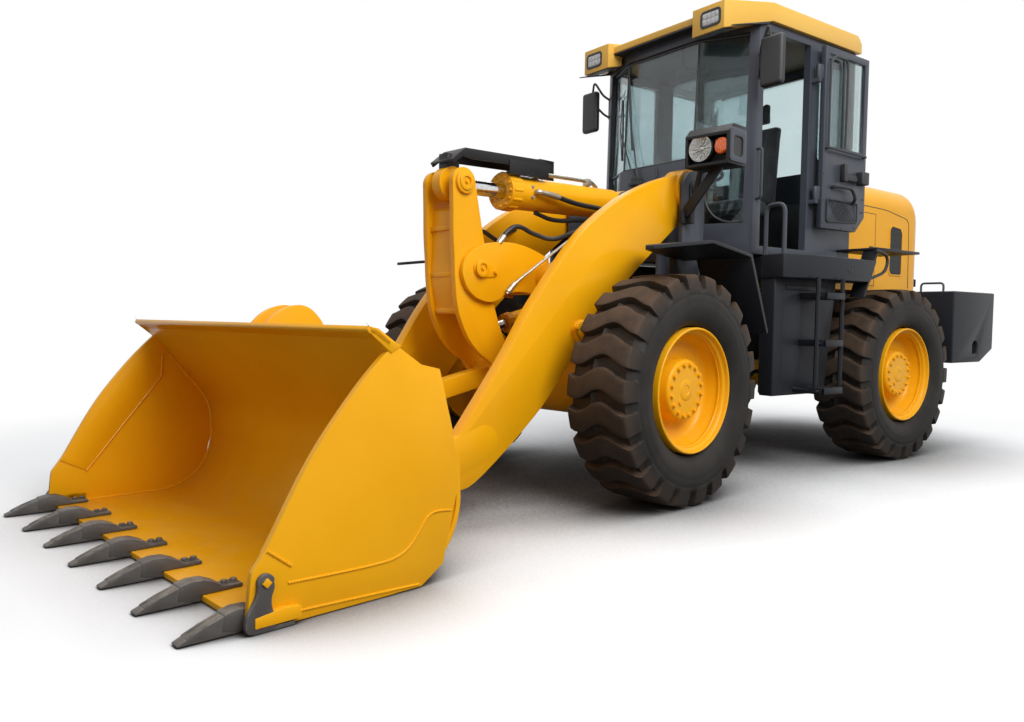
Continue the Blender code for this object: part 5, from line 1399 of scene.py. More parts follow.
teeth = {
    "count": 7,
    "half": 0.038,
    # side views of the adapter, the point and the corner leg
    "adapter": (
        (4.0, 0.027), (4.0, 0.043), (4.075, 0.045), (4.105, 0.066), (4.15, 0.084), (4.20, 0.088),
        (4.245, 0.079), (4.255, 0.02), (4.165, 0.0045), (4.165, 0.027),
    ),
    "point": (
        (4.135, 0.0045), (4.25, 0.0045), (4.34, 0.0045), (4.3995, 0.0045), (4.3995, 0.012), (4.31, 0.05),
        (4.245, 0.073), (4.235, 0.073), (4.235, 0.018), (4.135, 0.018),
    ),
    "leg": (
        (4.085, 0.0045), (4.17, 0.0045), (4.193, 0.02), (4.195, 0.05), (4.185, 0.078), (4.17, 0.10),
        (4.155, 0.13), (4.150, 0.16),
    ),
    "legBack": ((4.092, 0.175), (4.09, 0.15), (4.10, 0.12), (4.10, 0.09), (4.088, 0.05)),
}


def makeTeeth():
    # bolted adapters with their points, the wear strip under the floor and a leg up each corner
    inner = bucket["half"] - bucket["side"] - teeth["half"] - 0.0003
    shapes = [block((4.015, 4.135), (-1.22, 1.22), (0.0042, 0.0162))]
    for number in range(teeth["count"]):
        y = inner * (2 * number / (teeth["count"] - 1) - 1)
        half = teeth["half"]
        pad = plate(teeth["adapter"], y - half, y + half)
        for corner in pad.verts:
            if corner.co.x > 4.18:
                corner.co.y = y + (corner.co.y - y) * 0.86
        shapes.append(easeEdges(pad, 0.006, 2, 20))
        point = plate(teeth["point"], y - half * 0.82, y + half * 0.82)
        for corner in point.verts:
            if corner.co.x > 4.3:
                corner.co.y = y + (corner.co.y - y) * (0.86 if corner.co.x < 4.35 else 0.78)
        shapes.append(easeEdges(point, 0.004, 2, 25))
        for offset in (-0.017, 0.017):
            outline = [(4.25, 0.07), (4.315, 0.0485), (4.37, 0.025), (4.37, 0.014), (4.25, 0.05)]
            rib = plate(outline, y + offset - 0.006, y + offset + 0.006)
            bmesh.ops.translate(rib, vec=(0, 0, 0.004), verts=rib.verts)
            shapes.append(easeEdges(rib, 0.003, 2, 25))
        for x in (4.025, 4.062):
            shapes.append(hexBolt((x, y, 0.044), (0, 0, 1), 0.014, 0.014))
    leg = smoothLine(teeth["leg"], 3)
    leg += arc((4.120, 0.172), 0.031, -10, 170, 10) + smoothLine(teeth["legBack"], 3)
    shapes += onBoth(lambda: easeEdges(plate(leg, 1.2003, 1.2203), 0.004, 2, 40))
    shapes += onBoth(lambda: easeEdges(block((4.107, 4.133), (1.22, 1.2255), (0.159, 0.185)), 0.003))
    return joined(shapes)


def makeLegBolts():
    # the square bolt in each corner leg, painted with the bucket
    diamond = [(4.120, 0.19), (4.138, 0.172), (4.120, 0.154), (4.102, 0.172)]
    return joined(onBoth(lambda: easeEdges(plate(diamond, 1.2195, 1.228), 0.002, 2, 40)))


painted("teeth_set", makeTeeth(), "bucket", "tooth_steel", frontSpace, 35, ("cutting_edge",))
painted("teeth_bolts", makeLegBolts(), "bucket", "yellow_paint", frontSpace)


def tiltSpot(along, out, across=0.0):
    # a place beside the tilt cylinder: along its run, out above its axis, and across
    start, end = Vector((tiltPin[0], 0, tiltPin[1])), Vector((tiltEye[0], 0, tiltEye[1]))
    run = (end - start).normalized()
    return start + run * along + Vector((-run.z, 0, run.x)) * out + Vector((0, across, 0))


def makeTiltPipes():
    # a zinc pipe from the gland's port to the rear, with its clamps and elbows
    pipe = [
        tiltSpot(1.06, 0.10, 0.03),
        tiltSpot(1.06, 0.135, 0.03),
        tiltSpot(0.36, 0.135, 0.03),
        tiltSpot(0.33, 0.12, 0.03),
        tiltSpot(0.3, 0.10, 0.03),
    ]
    shapes = [bentBar(pipe, 0.013, 0.03)]
    for along in (0.4, 0.9):
        shapes.append(easeEdges(block((-0.02, 0.02), (-0.022, 0.022), (0, 0.05)), 0.004))
        spot = tiltSpot(along, 0.1, 0.03)
        bmesh.ops.translate(shapes[-1], vec=spot, verts=shapes[-1].verts)
    for side in (1, -1):
        elbow = [
            tiltSpot(0.98, 0.0, side * 0.10),
            tiltSpot(0.98, 0.0, side * 0.135),
            tiltSpot(0.88, -0.01, side * 0.142),
        ]
        shapes.append(bentBar(elbow, 0.017, 0.03))
        shapes.append(
            drum(tiltSpot(0.9, -0.008, side * 0.141), tiltSpot(0.8, -0.02, side * 0.143), 0.019, 16)
        )
        for lift in (-0.032, 0.032):
            shapes.append(hexBolt(tiltSpot(1.0, lift, side * 0.1), (0, side, 0), 0.01, 0.012))
    return joined(shapes)


def makeTiltHoses():
    shapes = []
    for side in (1, -1):
        route = [
            tiltSpot(0.82, -0.018, side * 0.143),
            tiltSpot(0.65, -0.045, side * 0.145),
            tiltSpot(0.4, -0.06, side * 0.14),
            tiltSpot(0.2, -0.07, side * 0.12),
            tiltSpot(0.08, -0.1, side * 0.1),
        ]
        shapes.append(tube(route, 0.0165))
    low = [
        tiltSpot(0.9, -0.115, 0.02),
        tiltSpot(0.75, -0.15, 0.03),
        tiltSpot(0.5, -0.14, 0.05),
        tiltSpot(0.2, -0.13, 0.06),
    ]
    shapes.append(tube(low, 0.015))
    return joined(shapes)


def makeBoomHoses():
    # the hoses on top of the bracket, running back inside the arms
    route = [
        (2.06, 0.165, 1.555), (2.02, 0.17, 1.60), (1.95, 0.175, 1.635), (1.81, 0.19, 1.60),
        (1.70, 0.24, 1.575), (1.60, 0.34, 1.62), (1.45, 0.43, 1.68), (1.3, 0.485, 1.72),
    ]
    return joined(onBoth(lambda: tube(route, 0.015)))


def makeBoomFittings():
    shapes = []
    for make in (
        lambda: drum((2.085, 0.162, 1.525), (2.045, 0.167, 1.57), 0.018, 12),
        lambda: drum((2.10, 0.160, 1.512), (2.085, 0.162, 1.526), 0.013, 12),
        lambda: bentBar(
            [(2.05, 0.2, 1.225), (1.97, 0.2, 1.30), (1.62, 0.33, 1.58), (1.5, 0.42, 1.66)], 0.009, 0.05
        ),
        lambda: drum((2.04, 0.2, 1.235), (1.98, 0.2, 1.29), 0.017, 12),
    ):
        shapes += onBoth(make)
    return joined(shapes)


def makeGuardPlate():
    # a plate that hangs beside the barrel
    return easeEdges(plate([(1.60, 1.972), (1.945, 1.962), (1.945, 2.05), (1.60, 2.06)], 0.100, 0.106), 0.002)


def makeGuardPost():
    # the block on the rod's eye that carries the guard
    return easeEdges(block((2.305, 2.375), (-0.04, 0.04), (1.935, 2.0)), 0.01, 3)


def makeBellcrankRibs():
    # cross ribs on the web that ties the two plates
    shapes = []
    for x, z in ((2.362, 1.60), (2.362, 1.33), (2.33, 1.12)):
        shapes.append(easeEdges(block((x - 0.008, x + 0.03), (-0.104, 0.104), (z - 0.014, z + 0.014)), 0.003))
    ring = [(0, 0.028), (0, 0.05), (0.006, 0.05), (0.008, 0.046), (0.008, 0.03)]
    for pin, face in ((tiltEye, 0.1605), (crankPin, 0.1955), (linkEye, 0.1605)):
        spot = (pin[0], face, pin[1])
        shapes += onBoth(lambda: lathe(ring, spot, (0, 1, 0), 32))
        shapes += onBoth(lambda: hexBolt(spot, (0, 1, 0), 0.011, 0.01))
    return joined(shapes)


def makeLiftBosses():
    # the lift cylinder's pin, capped and bolted on the arm's outer face
    def boss():
        profile = [
            (0, 0.0), (0, 0.072), (0.02, 0.072), (0.026, 0.066), (0.026, 0.052), (0.034, 0.048),
            (0.034, 0.0),
        ]
        cap = lathe(profile, (liftEye[0], 0.54, liftEye[1]), (0, 1, 0), 32)
        flag = keeper(liftEye, (1.84, 1.03), 0.572, 0.05, 0.022)
        return joined([cap, flag])

    return joined(onBoth(boss))


linkagePieces = (
    ("tilt_pipes", makeTiltPipes, zinc, "chrome", "tilt_barrel"),
    ("tilt_hoses", makeTiltHoses, hoseRubber, "black_paint", "tilt_barrel"),
    ("boom_hoses", makeBoomHoses, hoseRubber, "black_paint", "boom"),
    ("boom_fittings", makeBoomFittings, zinc, "chrome", "boom"),
    ("guard_plate", makeGuardPlate, finishes["black_paint"], "black_paint", "tilt_rod"),
    ("guard_post", makeGuardPost, finishes["yellow_paint"], "yellow_paint", "tilt_rod"),
    ("bellcrank_ribs", makeBellcrankRibs, finishes["yellow_paint"], "yellow_paint", "bellcrank"),
    ("boom_bosses", makeLiftBosses, finishes["yellow_paint"], "yellow_paint", "boom"),
)
for name, make, finish, slot, body in linkagePieces:
    show(name, make(), body, finish, frontSpace)
print("linkage made")

# Headlamps


def makeLampArm():
    # a flat bar from the tower out to the lamp box's bottom
    bar = block((-0.012, 0.012), (-0.032, 0.032), (0, 0.385))
    lean = Vector((-0.03, 0.235, 0.295)).to_track_quat("Z", "Y").to_matrix()
    bmesh.ops.rotate(bar, cent=(0, 0, 0), matrix=lean, verts=bar.verts)
    bmesh.ops.translate(bar, vec=(0.83, 0.618, 1.78), verts=bar.verts)
    foot = block((0.79, 0.87), (0.6065, 0.63), (1.72, 1.81))
    return joined([easeEdges(bar, 0.003), easeEdges(foot, 0.004)])


# centres of the headlamp's bowl and of the turn signal, across and up
headlamp = {"bowl": (0.79, 2.175), "turn": (0.94, 2.175)}


def makeLampBowl():
    # a bright bowl behind the clear lens, with ribs like a cut reflector
    profile = [
        (0, 0.0), (0, 0.03), (0.006, 0.06), (0.012, 0.078), (0.015, 0.078), (0.015, 0.083), (-0.006, 0.083),
        (-0.006, 0.0),
    ]
    shapes = [lathe(profile, (0.9125, *headlamp["bowl"]), (1, 0, 0), 40)]
    y, z = headlamp["bowl"]
    for number in range(12):
        turn = 2 * pi * number / 12
        near = Vector((0.9135, y + 0.02 * cos(turn), z + 0.02 * sin(turn)))
        far = Vector((0.922, y + 0.072 * cos(turn), z + 0.072 * sin(turn)))
        shapes.append(drum(near, far, 0.004, 6))
    shapes.append(drum((0.912, y, z), (0.922, y, z), 0.02, 20, 0.012))
    return joined(shapes)


def makeLampLens():
    profile = [(0.0, 0.0), (0.0, 0.077), (0.003, 0.078), (0.007, 0.06), (0.010, 0.03), (0.011, 0.0)]
    return lathe(profile, (0.9235, *headlamp["bowl"]), (1, 0, 0), 40)


def makeTurnLens():
    # ribbed orange dome of the turn signal
    profile = [(0.0, 0.0), (0.0, 0.051), (0.006, 0.051), (0.012, 0.046), (0.018, 0.03), (0.020, 0.0)]
    shapes = [lathe(profile, (0.912, *headlamp["turn"]), (1, 0, 0), 32)]
    y, z = headlamp["turn"]
    for offset in (-0.03, -0.015, 0, 0.015, 0.03):
        reach = sqrt(0.046 ** 2 - offset ** 2)
        shapes.append(drum((0.9285, y + offset, z - reach), (0.9285, y + offset, z + reach), 0.004, 8))
    return joined(shapes)


for label, side in sides:
    for name, make, finish, slot in (
        ("arm", makeLampArm, finishes["black_paint"], "black_paint"),
        ("bowl", makeLampBowl, bowlChrome, "chrome"),
        ("lens", makeLampLens, clearLens, "glass"),
        ("turn", makeTurnLens, orangeLens, "glass"),
    ):
        show(f"headlamp_{label}_{name}", onSide(make(), side), "front_body", finish, frontSpace)

# Rear: hood seams, latches, lamps, stack, the counterweight's handles and the fender's hose


def makeHoodSeams():
    # thin dark joints between the hood's doors and panels
    shapes = []
    door = [(-1.30, 2.03), (-1.30, 1.42), (-1.86, 1.40), (-1.86, 2.02)]
    for start, end in zip(door, door[1:] + door[:1]):
        shapes += onBoth(
            lambda: bentBar([(start[0], 0.5845, start[1]), (end[0], 0.5845, end[1])], 0.0028, 0.01, 8)
        )
    high = [
        (-1.21, 2.075), (-1.526, 2.078), (-1.67, 2.08), (-2.025, 2.072), (-2.38, 2.02), (-2.42, 1.98),
        (-2.44, 1.4),
    ]
    shapes += onBoth(lambda: bentBar([(x, 0.5855, z) for x, z in high], 0.003, 0.05, 8))
    return joined(shapes)


def makeHoodFittings():
    # latches, vent slats and rear lamp housings
    shapes = []
    for x, z in ((-1.37, 1.72), (-1.80, 1.72)):
        shapes += onBoth(
            lambda: easeEdges(block((x - 0.03, x + 0.03), (0.585, 0.5925), (z - 0.02, z + 0.02)), 0.003)
        )
    for number in range(9):
        z = 1.53 + 0.048 * number
        shapes += onBoth(
            lambda: plate([(-2.30, z), (-2.11, z), (-2.11, z + 0.012), (-2.30, z + 0.012)], 0.585, 0.589)
        )
    shapes += onBoth(lambda: easeEdges(block((-2.66, -2.637), (0.43, 0.55), (1.42, 1.49)), 0.006))
    return joined(shapes)


def makeTailLenses():
    return joined(onBoth(lambda: easeEdges(block((-2.668, -2.655), (0.44, 0.54), (1.43, 1.48)), 0.006)))


def makeWeightHandles():
    # a loop handle on each end of the counterweight
    route = [(-2.14, 0.86, 1.35), (-2.14, 0.86, 1.425), (-2.16, 1.04, 1.425), (-2.16, 1.04, 1.35)]
    return joined(onBoth(lambda: bentBar(route, 0.009, 0.03)))


def makeFenderHose():
    # a rubber loop over the rear wheel
    route = [
        (-0.96, 1.1, 1.625), (-1.04, 1.1, 1.615), (-1.121, 1.1, 1.583), (-1.13, 1.1, 1.53),
        (-1.095, 1.1, 1.477), (-0.99, 1.1, 1.435), (-0.873, 1.1, 1.407),
    ]
    return tube(route, 0.012)


def makeExhaust():
    # short stack and lifting eye on the hood's crown
    profile = [(0, 0.0), (0, 0.045), (0.13, 0.045), (0.13, 0.038), (0.02, 0.038), (0.02, 0.0)]
    shapes = [lathe(profile, (-1.75, -0.25, 2.28), (0, 0, 1), 32)]
    route = [(-1.45, 0.0, 2.295), (-1.45, 0.0, 2.335), (-1.53, 0.0, 2.335), (-1.53, 0.0, 2.295)]
    shapes.append(bentBar(route, 0.008, 0.02))
    return joined(shapes)


rearPieces = (
    ("hood_seams", makeHoodSeams, hoseRubber, "black_paint"),
    ("hood_fittings", makeHoodFittings, finishes["black_paint"], "black_paint"),
    ("hood_lamps", makeTailLenses, tailLens, "glass"),
    ("weight_handle", makeWeightHandles, finishes["grey_paint"], "grey_paint"),
    ("hood_stack", makeExhaust, finishes["black_paint"], "black_paint"),
    ("deck_hose", makeFenderHose, hoseRubber, "black_paint"),
)
for name, make, finish, slot in rearPieces:
    show(name, make(), "rear_body", finish, rearSpace)
print("rear made")

# Forms that are drawn afresh with smooth outlines: boom, bellcrank, hood and seat


boom = {
    # shares of the line from boom pin to bucket pin: along it, and above it
    "top": (
        (-0.03, 0.034), (0.1, 0.079), (0.21, 0.104), (0.31, 0.113), (0.40, 0.108), (0.565, 0.074),
        (0.69, 0.034), (0.86, -0.010), (0.95, -0.03),
    ),
    "bottom": (
        (0.93, -0.07), (0.88, -0.104), (0.69, -0.106), (0.56, -0.085), (0.44, -0.062), (0.33, -0.052),
        (0.22, -0.048), (0.02, -0.049),
    ),
    "arm": (0.46, 0.54),
    "nose": 0.105,
    "noseRoot": (0.82, -0.06),
    "bracket": (
        (1.66, 1.46), (1.8, 1.505), (1.9, 1.527), (2.007, 1.536), (2.11, 1.53), (2.202, 1.512),
        (2.29, 1.475), (2.35, 1.42), (2.375, 1.35), (2.36, 1.29), (2.325, 1.238), (2.27, 1.198),
        (2.21, 1.178), (2.15, 1.172), (2.09, 1.188), (2.03, 1.22), (1.9, 1.24), (1.66, 1.21),
    ),
    "bracketAcross": (0.145, 0.175),
}


def alongBoom(shares):
    start, run = Vector(boomPin), Vector(bucketPin) - Vector(boomPin)
    rise = Vector((-run.y, run.x)) * (1 if run.x > 0 else -1)
    return [tuple(start + run * along + rise * out) for along, out in shares]


def makeBoom():
    # two arms with their hubs and noses, the bracket plates and the cross tube
    arm = smoothLine(alongBoom(boom["top"])) + smoothLine(alongBoom(boom["bottom"]))
    root = alongBoom([boom["noseRoot"]])[0]
    heading = atan2(bucketPin[1] - root[1], bucketPin[0] - root[0]) * 180 / pi
    nose = arc(bucketPin, boom["nose"], heading - 90, heading + 90, 20)
    nose += arc(root, boom["nose"], heading + 90, heading + 270, 12)

    def side():
        low, high = boom["arm"]
        shapes = [easeEdges(plate(arm, low, high), 0.006, 2, 40)]
        hubs = ((boomPin, 0.14, 0.43, 0.57), (bucketPin, boom["nose"], low - 0.001, high + 0.001))
        for pin, radius, near, far in hubs:
            shapes.append(easeEdges(crossDrum(pin, near, far, radius, 48), 0.006, 2, 40))
        shapes.append(easeEdges(crossDrum(liftEye, 0.345, 0.56, 0.075, 32), 0.005, 2, 40))
        shapes.append(easeEdges(plate(nose, low - 0.0005, high + 0.0005), 0.006, 2, 40))
        bracket = plate(smoothLine(boom["bracket"], 4), *boom["bracketAcross"])
        shapes.append(easeEdges(bracket, 0.004, 2, 40))
        return joined(shapes)

    middle = alongBoom([(0.40, 0.025)])[0]
    return joined(onBoth(side) + [crossDrum(middle, -0.465, 0.465, 0.1, 40)])


crank = {
    "front": (
        (2.424, 1.85), (2.42, 1.7), (2.417, 1.55), (2.407, 1.414), (2.4, 1.294), (2.375, 1.122),
        (2.299, 0.965), (2.204, 0.867), (2.106, 0.8), (2.04, 0.69),
    ),
    "rear": (
        (1.9, 0.79), (1.955, 0.87), (2.03, 0.99), (2.1, 1.172), (2.13, 1.366), (2.178, 1.516), (2.22, 1.7),
        (2.256, 1.87),
    ),
    "across": (0.105, 0.14),
}


def makeBellcrank():
    # two curved plates with rounded heads, pin bosses, and the web along their front
    head = arc(tiltEye, 0.085, -5, 175, 14)
    foot = arc(linkEye, 0.09, 145, 325, 14)
    outline = head + smoothLine(crank["rear"])[::-1] + foot + smoothLine(crank["front"])[::-1]

    def side():
        low, high = crank["across"]
        shapes = [easeEdges(plate(outline, low, high), 0.005, 2, 40)]
        for eye in (tiltEye, linkEye):
            shapes.append(easeEdges(crossDrum(eye, low + 0.005, high + 0.02, 0.068, 32), 0.004, 2, 40))
        return joined(shapes)

    webRear = [(2.375, 1.70), (2.345, 1.70), (2.34, 1.42), (2.34, 1.28), (2.3, 1.1)]
    webFront = [(2.345, 1.1), (2.385, 1.28), (2.385, 1.42)]
    web = smoothLine(webRear, 3) + smoothLine(webFront, 3)
    shapes = onBoth(side) + [plate(web, -0.11, 0.11)]
    shapes.append(crossDrum(crankPin, -0.195, 0.195, 0.045, 32))
    return joined(shapes)


hood = {
    "half": 0.585,
    "low": 1.356,
    "high": 2.292,
    "front": -1.2,
    "rear": -2.634,
    "shoulder": (0.2, 0.21),
    "corner": (0.16, 0.24),
    "fall": 0.03,
    "draw": 0.07,
}


def hoodRing(bm, x, inset, drop):
    # one cross-section: flank, round shoulder, slightly crowned top; gives its edges and corners
    half, high = hood["half"] - inset, hood["high"] - drop
    wide, tall = hood["shoulder"]
    spots = [(half, hood["low"]), (half, 1.7), (half, high - tall)]
    for turn in range(9, 90, 9):
        a = radians(turn)
        spots.append((half - wide * (1 - cos(a)), high - tall * (1 - sin(a))))
    spots += [(y * (half - wide), high + 0.012 * (1 - y * y)) for y in (0.75, 0.5, 0.25, 0)]
    spots += [(-y, z) for y, z in spots[-2::-1]]
    verts = [bm.verts.new((x, y, z)) for y, z in spots]
    return [bm.edges.new((verts[i - 1], verts[i])) for i in range(len(verts))], verts


def makeHood():
    # lofted from the cab to the rounded rear end
    deep, tall = hood["corner"]
    stations = [(hood["front"], 0, 0), (-1.6, 0, 0), (-2.0, 0, 0.002)]
    for i in range(9):
        a = radians(11.25 * i)
        drop = 0.008 + hood["fall"] * 0.65 * i / 8 + tall * (1 - cos(a))
        stations.append((hood["rear"] + deep * (1 - sin(a)), hood["draw"] * (1 - cos(a)), drop))
    bm = bmesh.new()
    rings = [hoodRing(bm, *station) for station in stations]
    for near, far in zip(rings, rings[1:]):
        bmesh.ops.bridge_loops(bm, edges=near[0] + far[0])
    for ring in (rings[0], rings[-1]):
        bm.faces.new(ring[1])
    bmesh.ops.remove_doubles(bm, verts=bm.verts, dist=0.00005)
    bmesh.ops.recalc_face_normals(bm, faces=bm.faces)
    return bm


vent = [(-2.307, 1.5), (-2.12, 1.5), (-2.09, 1.53), (-2.09, 1.92), (-2.12, 1.95)]
vent += [(-2.29, 1.935), (-2.32, 1.89), (-2.32, 1.515)]


def ventWithin(inset):
    return [(x + (inset if x < -2.2 else -inset), z + (inset if z < 1.7 else -inset)) for x, z in vent]


def makeHoodVents():
    # the dark screens in the flanks
    return joined(onBoth(lambda: plate(ventWithin(0.012), 0.5835, 0.5862)))


def makeVentRims():
    return joined(onBoth(lambda: easeEdges(ringPlate(vent, ventWithin(0.014), 0.58, 0.5905), 0.003)))


def makeGrilleFrame():
    outer = roundedBox(-0.42, 0.42, 1.48, 1.92, 0.03)
    inner = roundedBox(-0.39, 0.39, 1.51, 1.89, 0.02)
    return easeEdges(ringPlate(outer, inner, -2.642, -2.60, "X"), 0.003)


painted("boom_arms", makeBoom(), "boom", "yellow_paint", frontSpace, 35, ("boom",))
painted("bellcrank_plates", makeBellcrank(), "bellcrank", "yellow_paint", frontSpace, 35, ("bellcrank",))
painted("hood_shell", makeHood(), "rear_body", "yellow_paint", rearSpace, 40, ("hood",))
painted("hood_ventRims", makeVentRims(), "rear_body", "yellow_paint", rearSpace)
painted("hood_vents", makeHoodVents(), "rear_body", "black_paint", rearSpace)
painted("hood_grilleFrame", makeGrilleFrame(), "rear_body", "black_paint", rearSpace)


def makeLampSide():
    # a side plate with a rounded window, outside each headlamp's box
    outer = roundedBox(0.735, 0.925, 2.075, 2.285, 0.02)
    inner = roundedBox(0.775, 0.89, 2.11, 2.235, 0.028)
    return easeEdges(ringPlate(outer, inner, 1.0003, 1.009), 0.002)


def makeLampWindow():
    return plate(roundedBox(0.773, 0.892, 2.108, 2.237, 0.03), 0.9995, 1.0012)


for label, side in sides:
    painted(f"headlamp_{label}_side", onSide(makeLampSide(), side), "front_body", "grey_paint", frontSpace)
    show(
        f"headlamp_{label}_window",
        onSide(makeLampWindow(), side),
        "front_body",
        hoseRubber,
        frontSpace,
    )
print("smooth forms made")

# Seat: three pads blown up as cloth, each inside the solid that it stands for

seat = {
    # low and high corners of each pad, how far it leans back over its height, and the size of its voxels
    "seat_cushion": ((-0.84, -0.245, 1.955), (-0.452, 0.245, 2.068), 0.0, 0.008),
    "seat_backrest": ((-0.945, -0.245, 2.03), (-0.84, 0.245, 2.715), -0.06, 0.009),
    "seat_headrest": ((-1.0, -0.125, 2.735), (-0.925, 0.125, 2.915), 0.0, 0.007),
}
padSwell = {"pressure": 4, "frames": 20, "cap": 0.012, "shrink": 0.008}


def applied(holder):
    # the object's mesh as its modifiers leave it
    made = bpy.data.meshes.new_from_object(holder.evaluated_get(bpy.context.evaluated_depsgraph_get()))
    old = holder.data
    holder.modifiers.clear()
    holder.data = made
    bpy.data.meshes.remove(old)


def makePad(name, low, high, lean, voxel):
    # a crowned block, remeshed, swollen as cloth, then smoothed
    inset = padSwell["shrink"]
    spans = [(a + inset, b - inset) for a, b in zip(low, high)]
    bm = block(*spans)
    easeEdges(bm, min(b - a for a, b in spans) * 0.3, 5)
    for vert in bm.verts:
        vert.co.x += lean * (vert.co.z - low[2]) / (high[2] - low[2])
    mesh = bpy.data.meshes.new(name)
    bm.to_mesh(mesh)
    bm.free()
    pad = bpy.data.objects.new(name, mesh)
    bpy.context.scene.collection.objects.link(pad)
    remesh = pad.modifiers.new("remesh", "REMESH")
    remesh.mode = "VOXEL"
    remesh.voxel_size = voxel
    applied(pad)
    before = [vert.co.copy() for vert in pad.data.vertices]
    cloth = pad.modifiers.new("cloth", "CLOTH")
    cloth.settings.quality = 5
    cloth.settings.mass = 0.3
    cloth.settings.tension_stiffness = 12
    cloth.settings.compression_stiffness = 12
    cloth.settings.bending_stiffness = 0.5
    cloth.settings.use_pressure = True
    cloth.settings.uniform_pressure_force = padSwell["pressure"]
    cloth.settings.effector_weights.gravity = 0
    cloth.point_cache.frame_start = 1
    cloth.point_cache.frame_end = padSwell["frames"]
    for number in range(1, padSwell["frames"] + 1):
        bpy.context.scene.frame_set(number)
    applied(pad)
    bpy.context.scene.frame_set(1)
    for vert, start in zip(pad.data.vertices, before):
        moved = vert.co - start
        if moved.length > padSwell["cap"]:
            vert.co = start + moved * (padSwell["cap"] / moved.length)
    return pad


def sewPad(pad, low, high, upright):
    # two sewn channels and a piped seam, pressed in after the cloth has swollen
    for vert in pad.data.vertices:
        across = min(abs(abs(vert.co.y) - 0.13 * (high[1] / 0.245)), 0.05)
        outside = (vert.co.x > (low[0] + high[0]) / 2) if upright else (vert.co.z > (low[2] + high[2]) / 2)
        press = 0.008 * max(0.0, 1 - across / 0.016)
        if outside and press:
            vert.co -= (Vector((1, 0, 0)) if upright else Vector((0, 0, 1))) * press


for name, (low, high, lean, voxel) in seat.items():
    pad = makePad(name, low, high, lean, voxel)
    sewPad(pad, low, high, name != "seat_cushion")
    pad.data.transform(rearSpace)
    pad.data.shade_smooth()
    smooth = pad.modifiers.new("smooth", "SUBSURF")
    smooth.levels = smooth.render_levels = 1
    pad.data.materials.clear()
    pad.data.materials.append(finishes["seat_fabric"])
    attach(pad, "rear_body")
    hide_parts("seat")
print("seat made")

# Studio

studio = {
    "cameraSpot": (4.8812, 4.3828, 1.0794),
    "lens": 28.41,
    "headingDegrees": 233.35,
    "pitchDegrees": -3.04,
    "rollDegrees": 0.76,
    "skyStrength": 0.5,
    "floorSize": 60,
    "shadowReach": (3.6, 6.5),
    # how far the floor's painted contact shadow reaches from the machine
    "paintedShadowReach": 1.4,
}


def makeCamera():
    camera = bpy.data.cameras.new("camera")
    camera.lens = studio["lens"]
    camera.sensor_width = 36
    camera.clip_end = 200
    holder = bpy.data.objects.new("camera", camera)
    bpy.context.scene.collection.objects.link(holder)
    heading, pitch = radians(studio["headingDegrees"]), radians(studio["pitchDegrees"])
    ahead = Vector((cos(heading) * cos(pitch), sin(heading) * cos(pitch), sin(pitch)))
    right = Vector((sin(heading), -cos(heading), 0))
    up = right.cross(ahead)
    roll = Matrix.Rotation(-radians(studio["rollDegrees"]), 3, ahead)
    right, up = roll @ right, roll @ up
    aim = Matrix((right, up, -ahead)).transposed().to_4x4()
    holder.matrix_world = Matrix.Translation(rearSpace @ Vector(studio["cameraSpot"])) @ aim
    bpy.context.scene.camera = holder


def seenRay(tree, ray):
    # what the camera sees, straight, mirrored or through glass
    mirrored = math(tree, "MAXIMUM", ray.outputs["Is Camera Ray"], ray.outputs["Is Glossy Ray"])
    return math(tree, "MAXIMUM", mirrored, ray.outputs["Is Transmission Ray"])


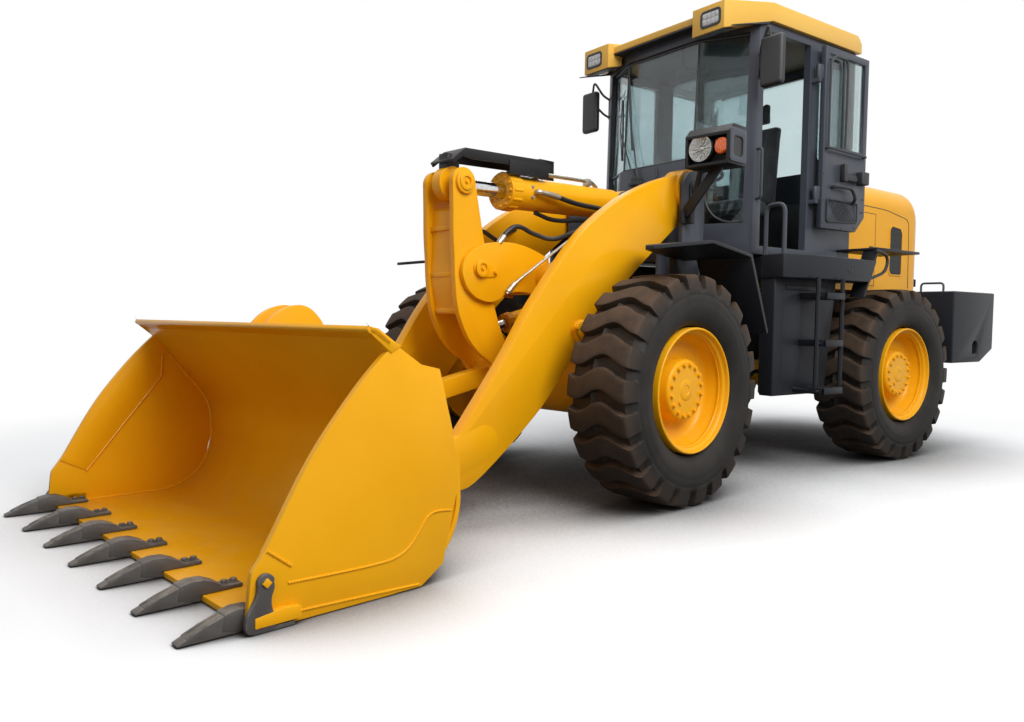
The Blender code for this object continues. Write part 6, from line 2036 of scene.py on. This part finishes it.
def makeFloor():
    # a pale floor that shows as white to the camera and keeps the machine's shadow, deepened near the machine by a
    # painted contact shadow
    bm = bmesh.new()
    bmesh.ops.create_grid(bm, x_segments=1, y_segments=1, size=studio["floorSize"])
    mesh = bpy.data.meshes.new("floor")
    bm.to_mesh(mesh)
    bm.free()
    material, tree, shader = newMaterial("floorPaper")
    spot = objectSpot(tree)
    grain = between(tree, noise(tree, spot, 0.6, 3), 0.3, 0.7)
    ray = tree.nodes.new("ShaderNodeLightPath")
    paper = mixColor(tree, grain, (0.86, 0.86, 0.86, 1), (0.84, 0.84, 0.84, 1))
    # painted contact shadow: the paper colour is mixed toward near-black where ambient occlusion finds the machine
    # close by
    near = tree.nodes.new("ShaderNodeAmbientOcclusion")
    near.inputs["Distance"].default_value = studio["paintedShadowReach"]
    near.samples = 8
    paperWithPaintedShadow = mixColor(tree, between(tree, near.outputs["AO"], 0.3, 1.0), (0.06, 0.058, 0.057, 1), paper)
    link(
        tree,
        mixColor(tree, ray.outputs["Is Camera Ray"], (0.2, 0.2, 0.2, 1), paperWithPaintedShadow),
        shader.inputs["Base Color"],
    )
    shader.inputs["Roughness"].default_value = 0.9
    shader.inputs["Specular IOR Level"].default_value = 0.1
    white = tree.nodes.new("ShaderNodeEmission")
    reach = tree.nodes.new("ShaderNodeVectorMath")
    reach.operation = "LENGTH"
    link(tree, spot, reach.inputs[0])
    far = between(tree, reach.outputs["Value"], studio["shadowReach"][0], studio["shadowReach"][1])
    bright = math(tree, "MULTIPLY", far, seenRay(tree, ray))
    blend = tree.nodes.new("ShaderNodeMixShader")
    link(tree, bright, blend.inputs[0])
    link(tree, shader.outputs[0], blend.inputs[1])
    link(tree, white.outputs[0], blend.inputs[2])
    link(tree, blend.outputs[0], tree.nodes["Material Output"].inputs["Surface"])
    mesh.materials.append(material)
    floor = bpy.data.objects.new("floor", mesh)
    bpy.context.scene.collection.objects.link(floor)


def makeWorld():
    world = bpy.data.worlds.new("studio")
    bpy.context.scene.world = world
    world.use_nodes = True
    tree = world.node_tree
    tree.nodes.clear()
    light = tree.nodes.new("ShaderNodeBackground")
    shown = tree.nodes.new("ShaderNodeBackground")
    light.inputs["Color"].default_value = (0.93, 0.96, 1.0, 1)
    light.inputs["Strength"].default_value = studio["skyStrength"]
    shown.inputs["Color"].default_value = (1, 1, 1, 1)
    shown.inputs["Strength"].default_value = 1.0
    ray = tree.nodes.new("ShaderNodeLightPath")
    seen = seenRay(tree, ray)
    blend = tree.nodes.new("ShaderNodeMixShader")
    link(tree, seen, blend.inputs[0])
    link(tree, light.outputs[0], blend.inputs[1])
    link(tree, shown.outputs[0], blend.inputs[2])
    link(tree, blend.outputs[0], tree.nodes.new("ShaderNodeOutputWorld").inputs["Surface"])


lamps = {
    # place, what it aims at, power in watts, size across
    "key": ((2.2, 6.8, 6.6), (0.4, 0, 1.0), 700, 5.0),
    "top": ((-0.5, 0.0, 9.0), (0.0, 0, 1.0), 280, 6.0),
    "rim": ((-5.0, -5.0, 6.0), (-0.5, 0, 1.2), 160, 4.0),
}


def makeLamps():
    for name, (spot, target, power, size) in lamps.items():
        light = bpy.data.lights.new(name, "AREA")
        light.energy = power
        light.size = size
        holder = bpy.data.objects.new(name, light)
        holder.visible_camera = holder.visible_transmission = False
        bpy.context.scene.collection.objects.link(holder)
        holder.location = rearSpace @ Vector(spot)
        holder.rotation_euler = (Vector(target) - Vector(spot)).to_track_quat("-Z", "Y").to_euler()


makeCamera()
makeFloor()
makeWorld()
makeLamps()
bpy.context.scene.view_settings.view_transform = "Standard"
print("studio made")
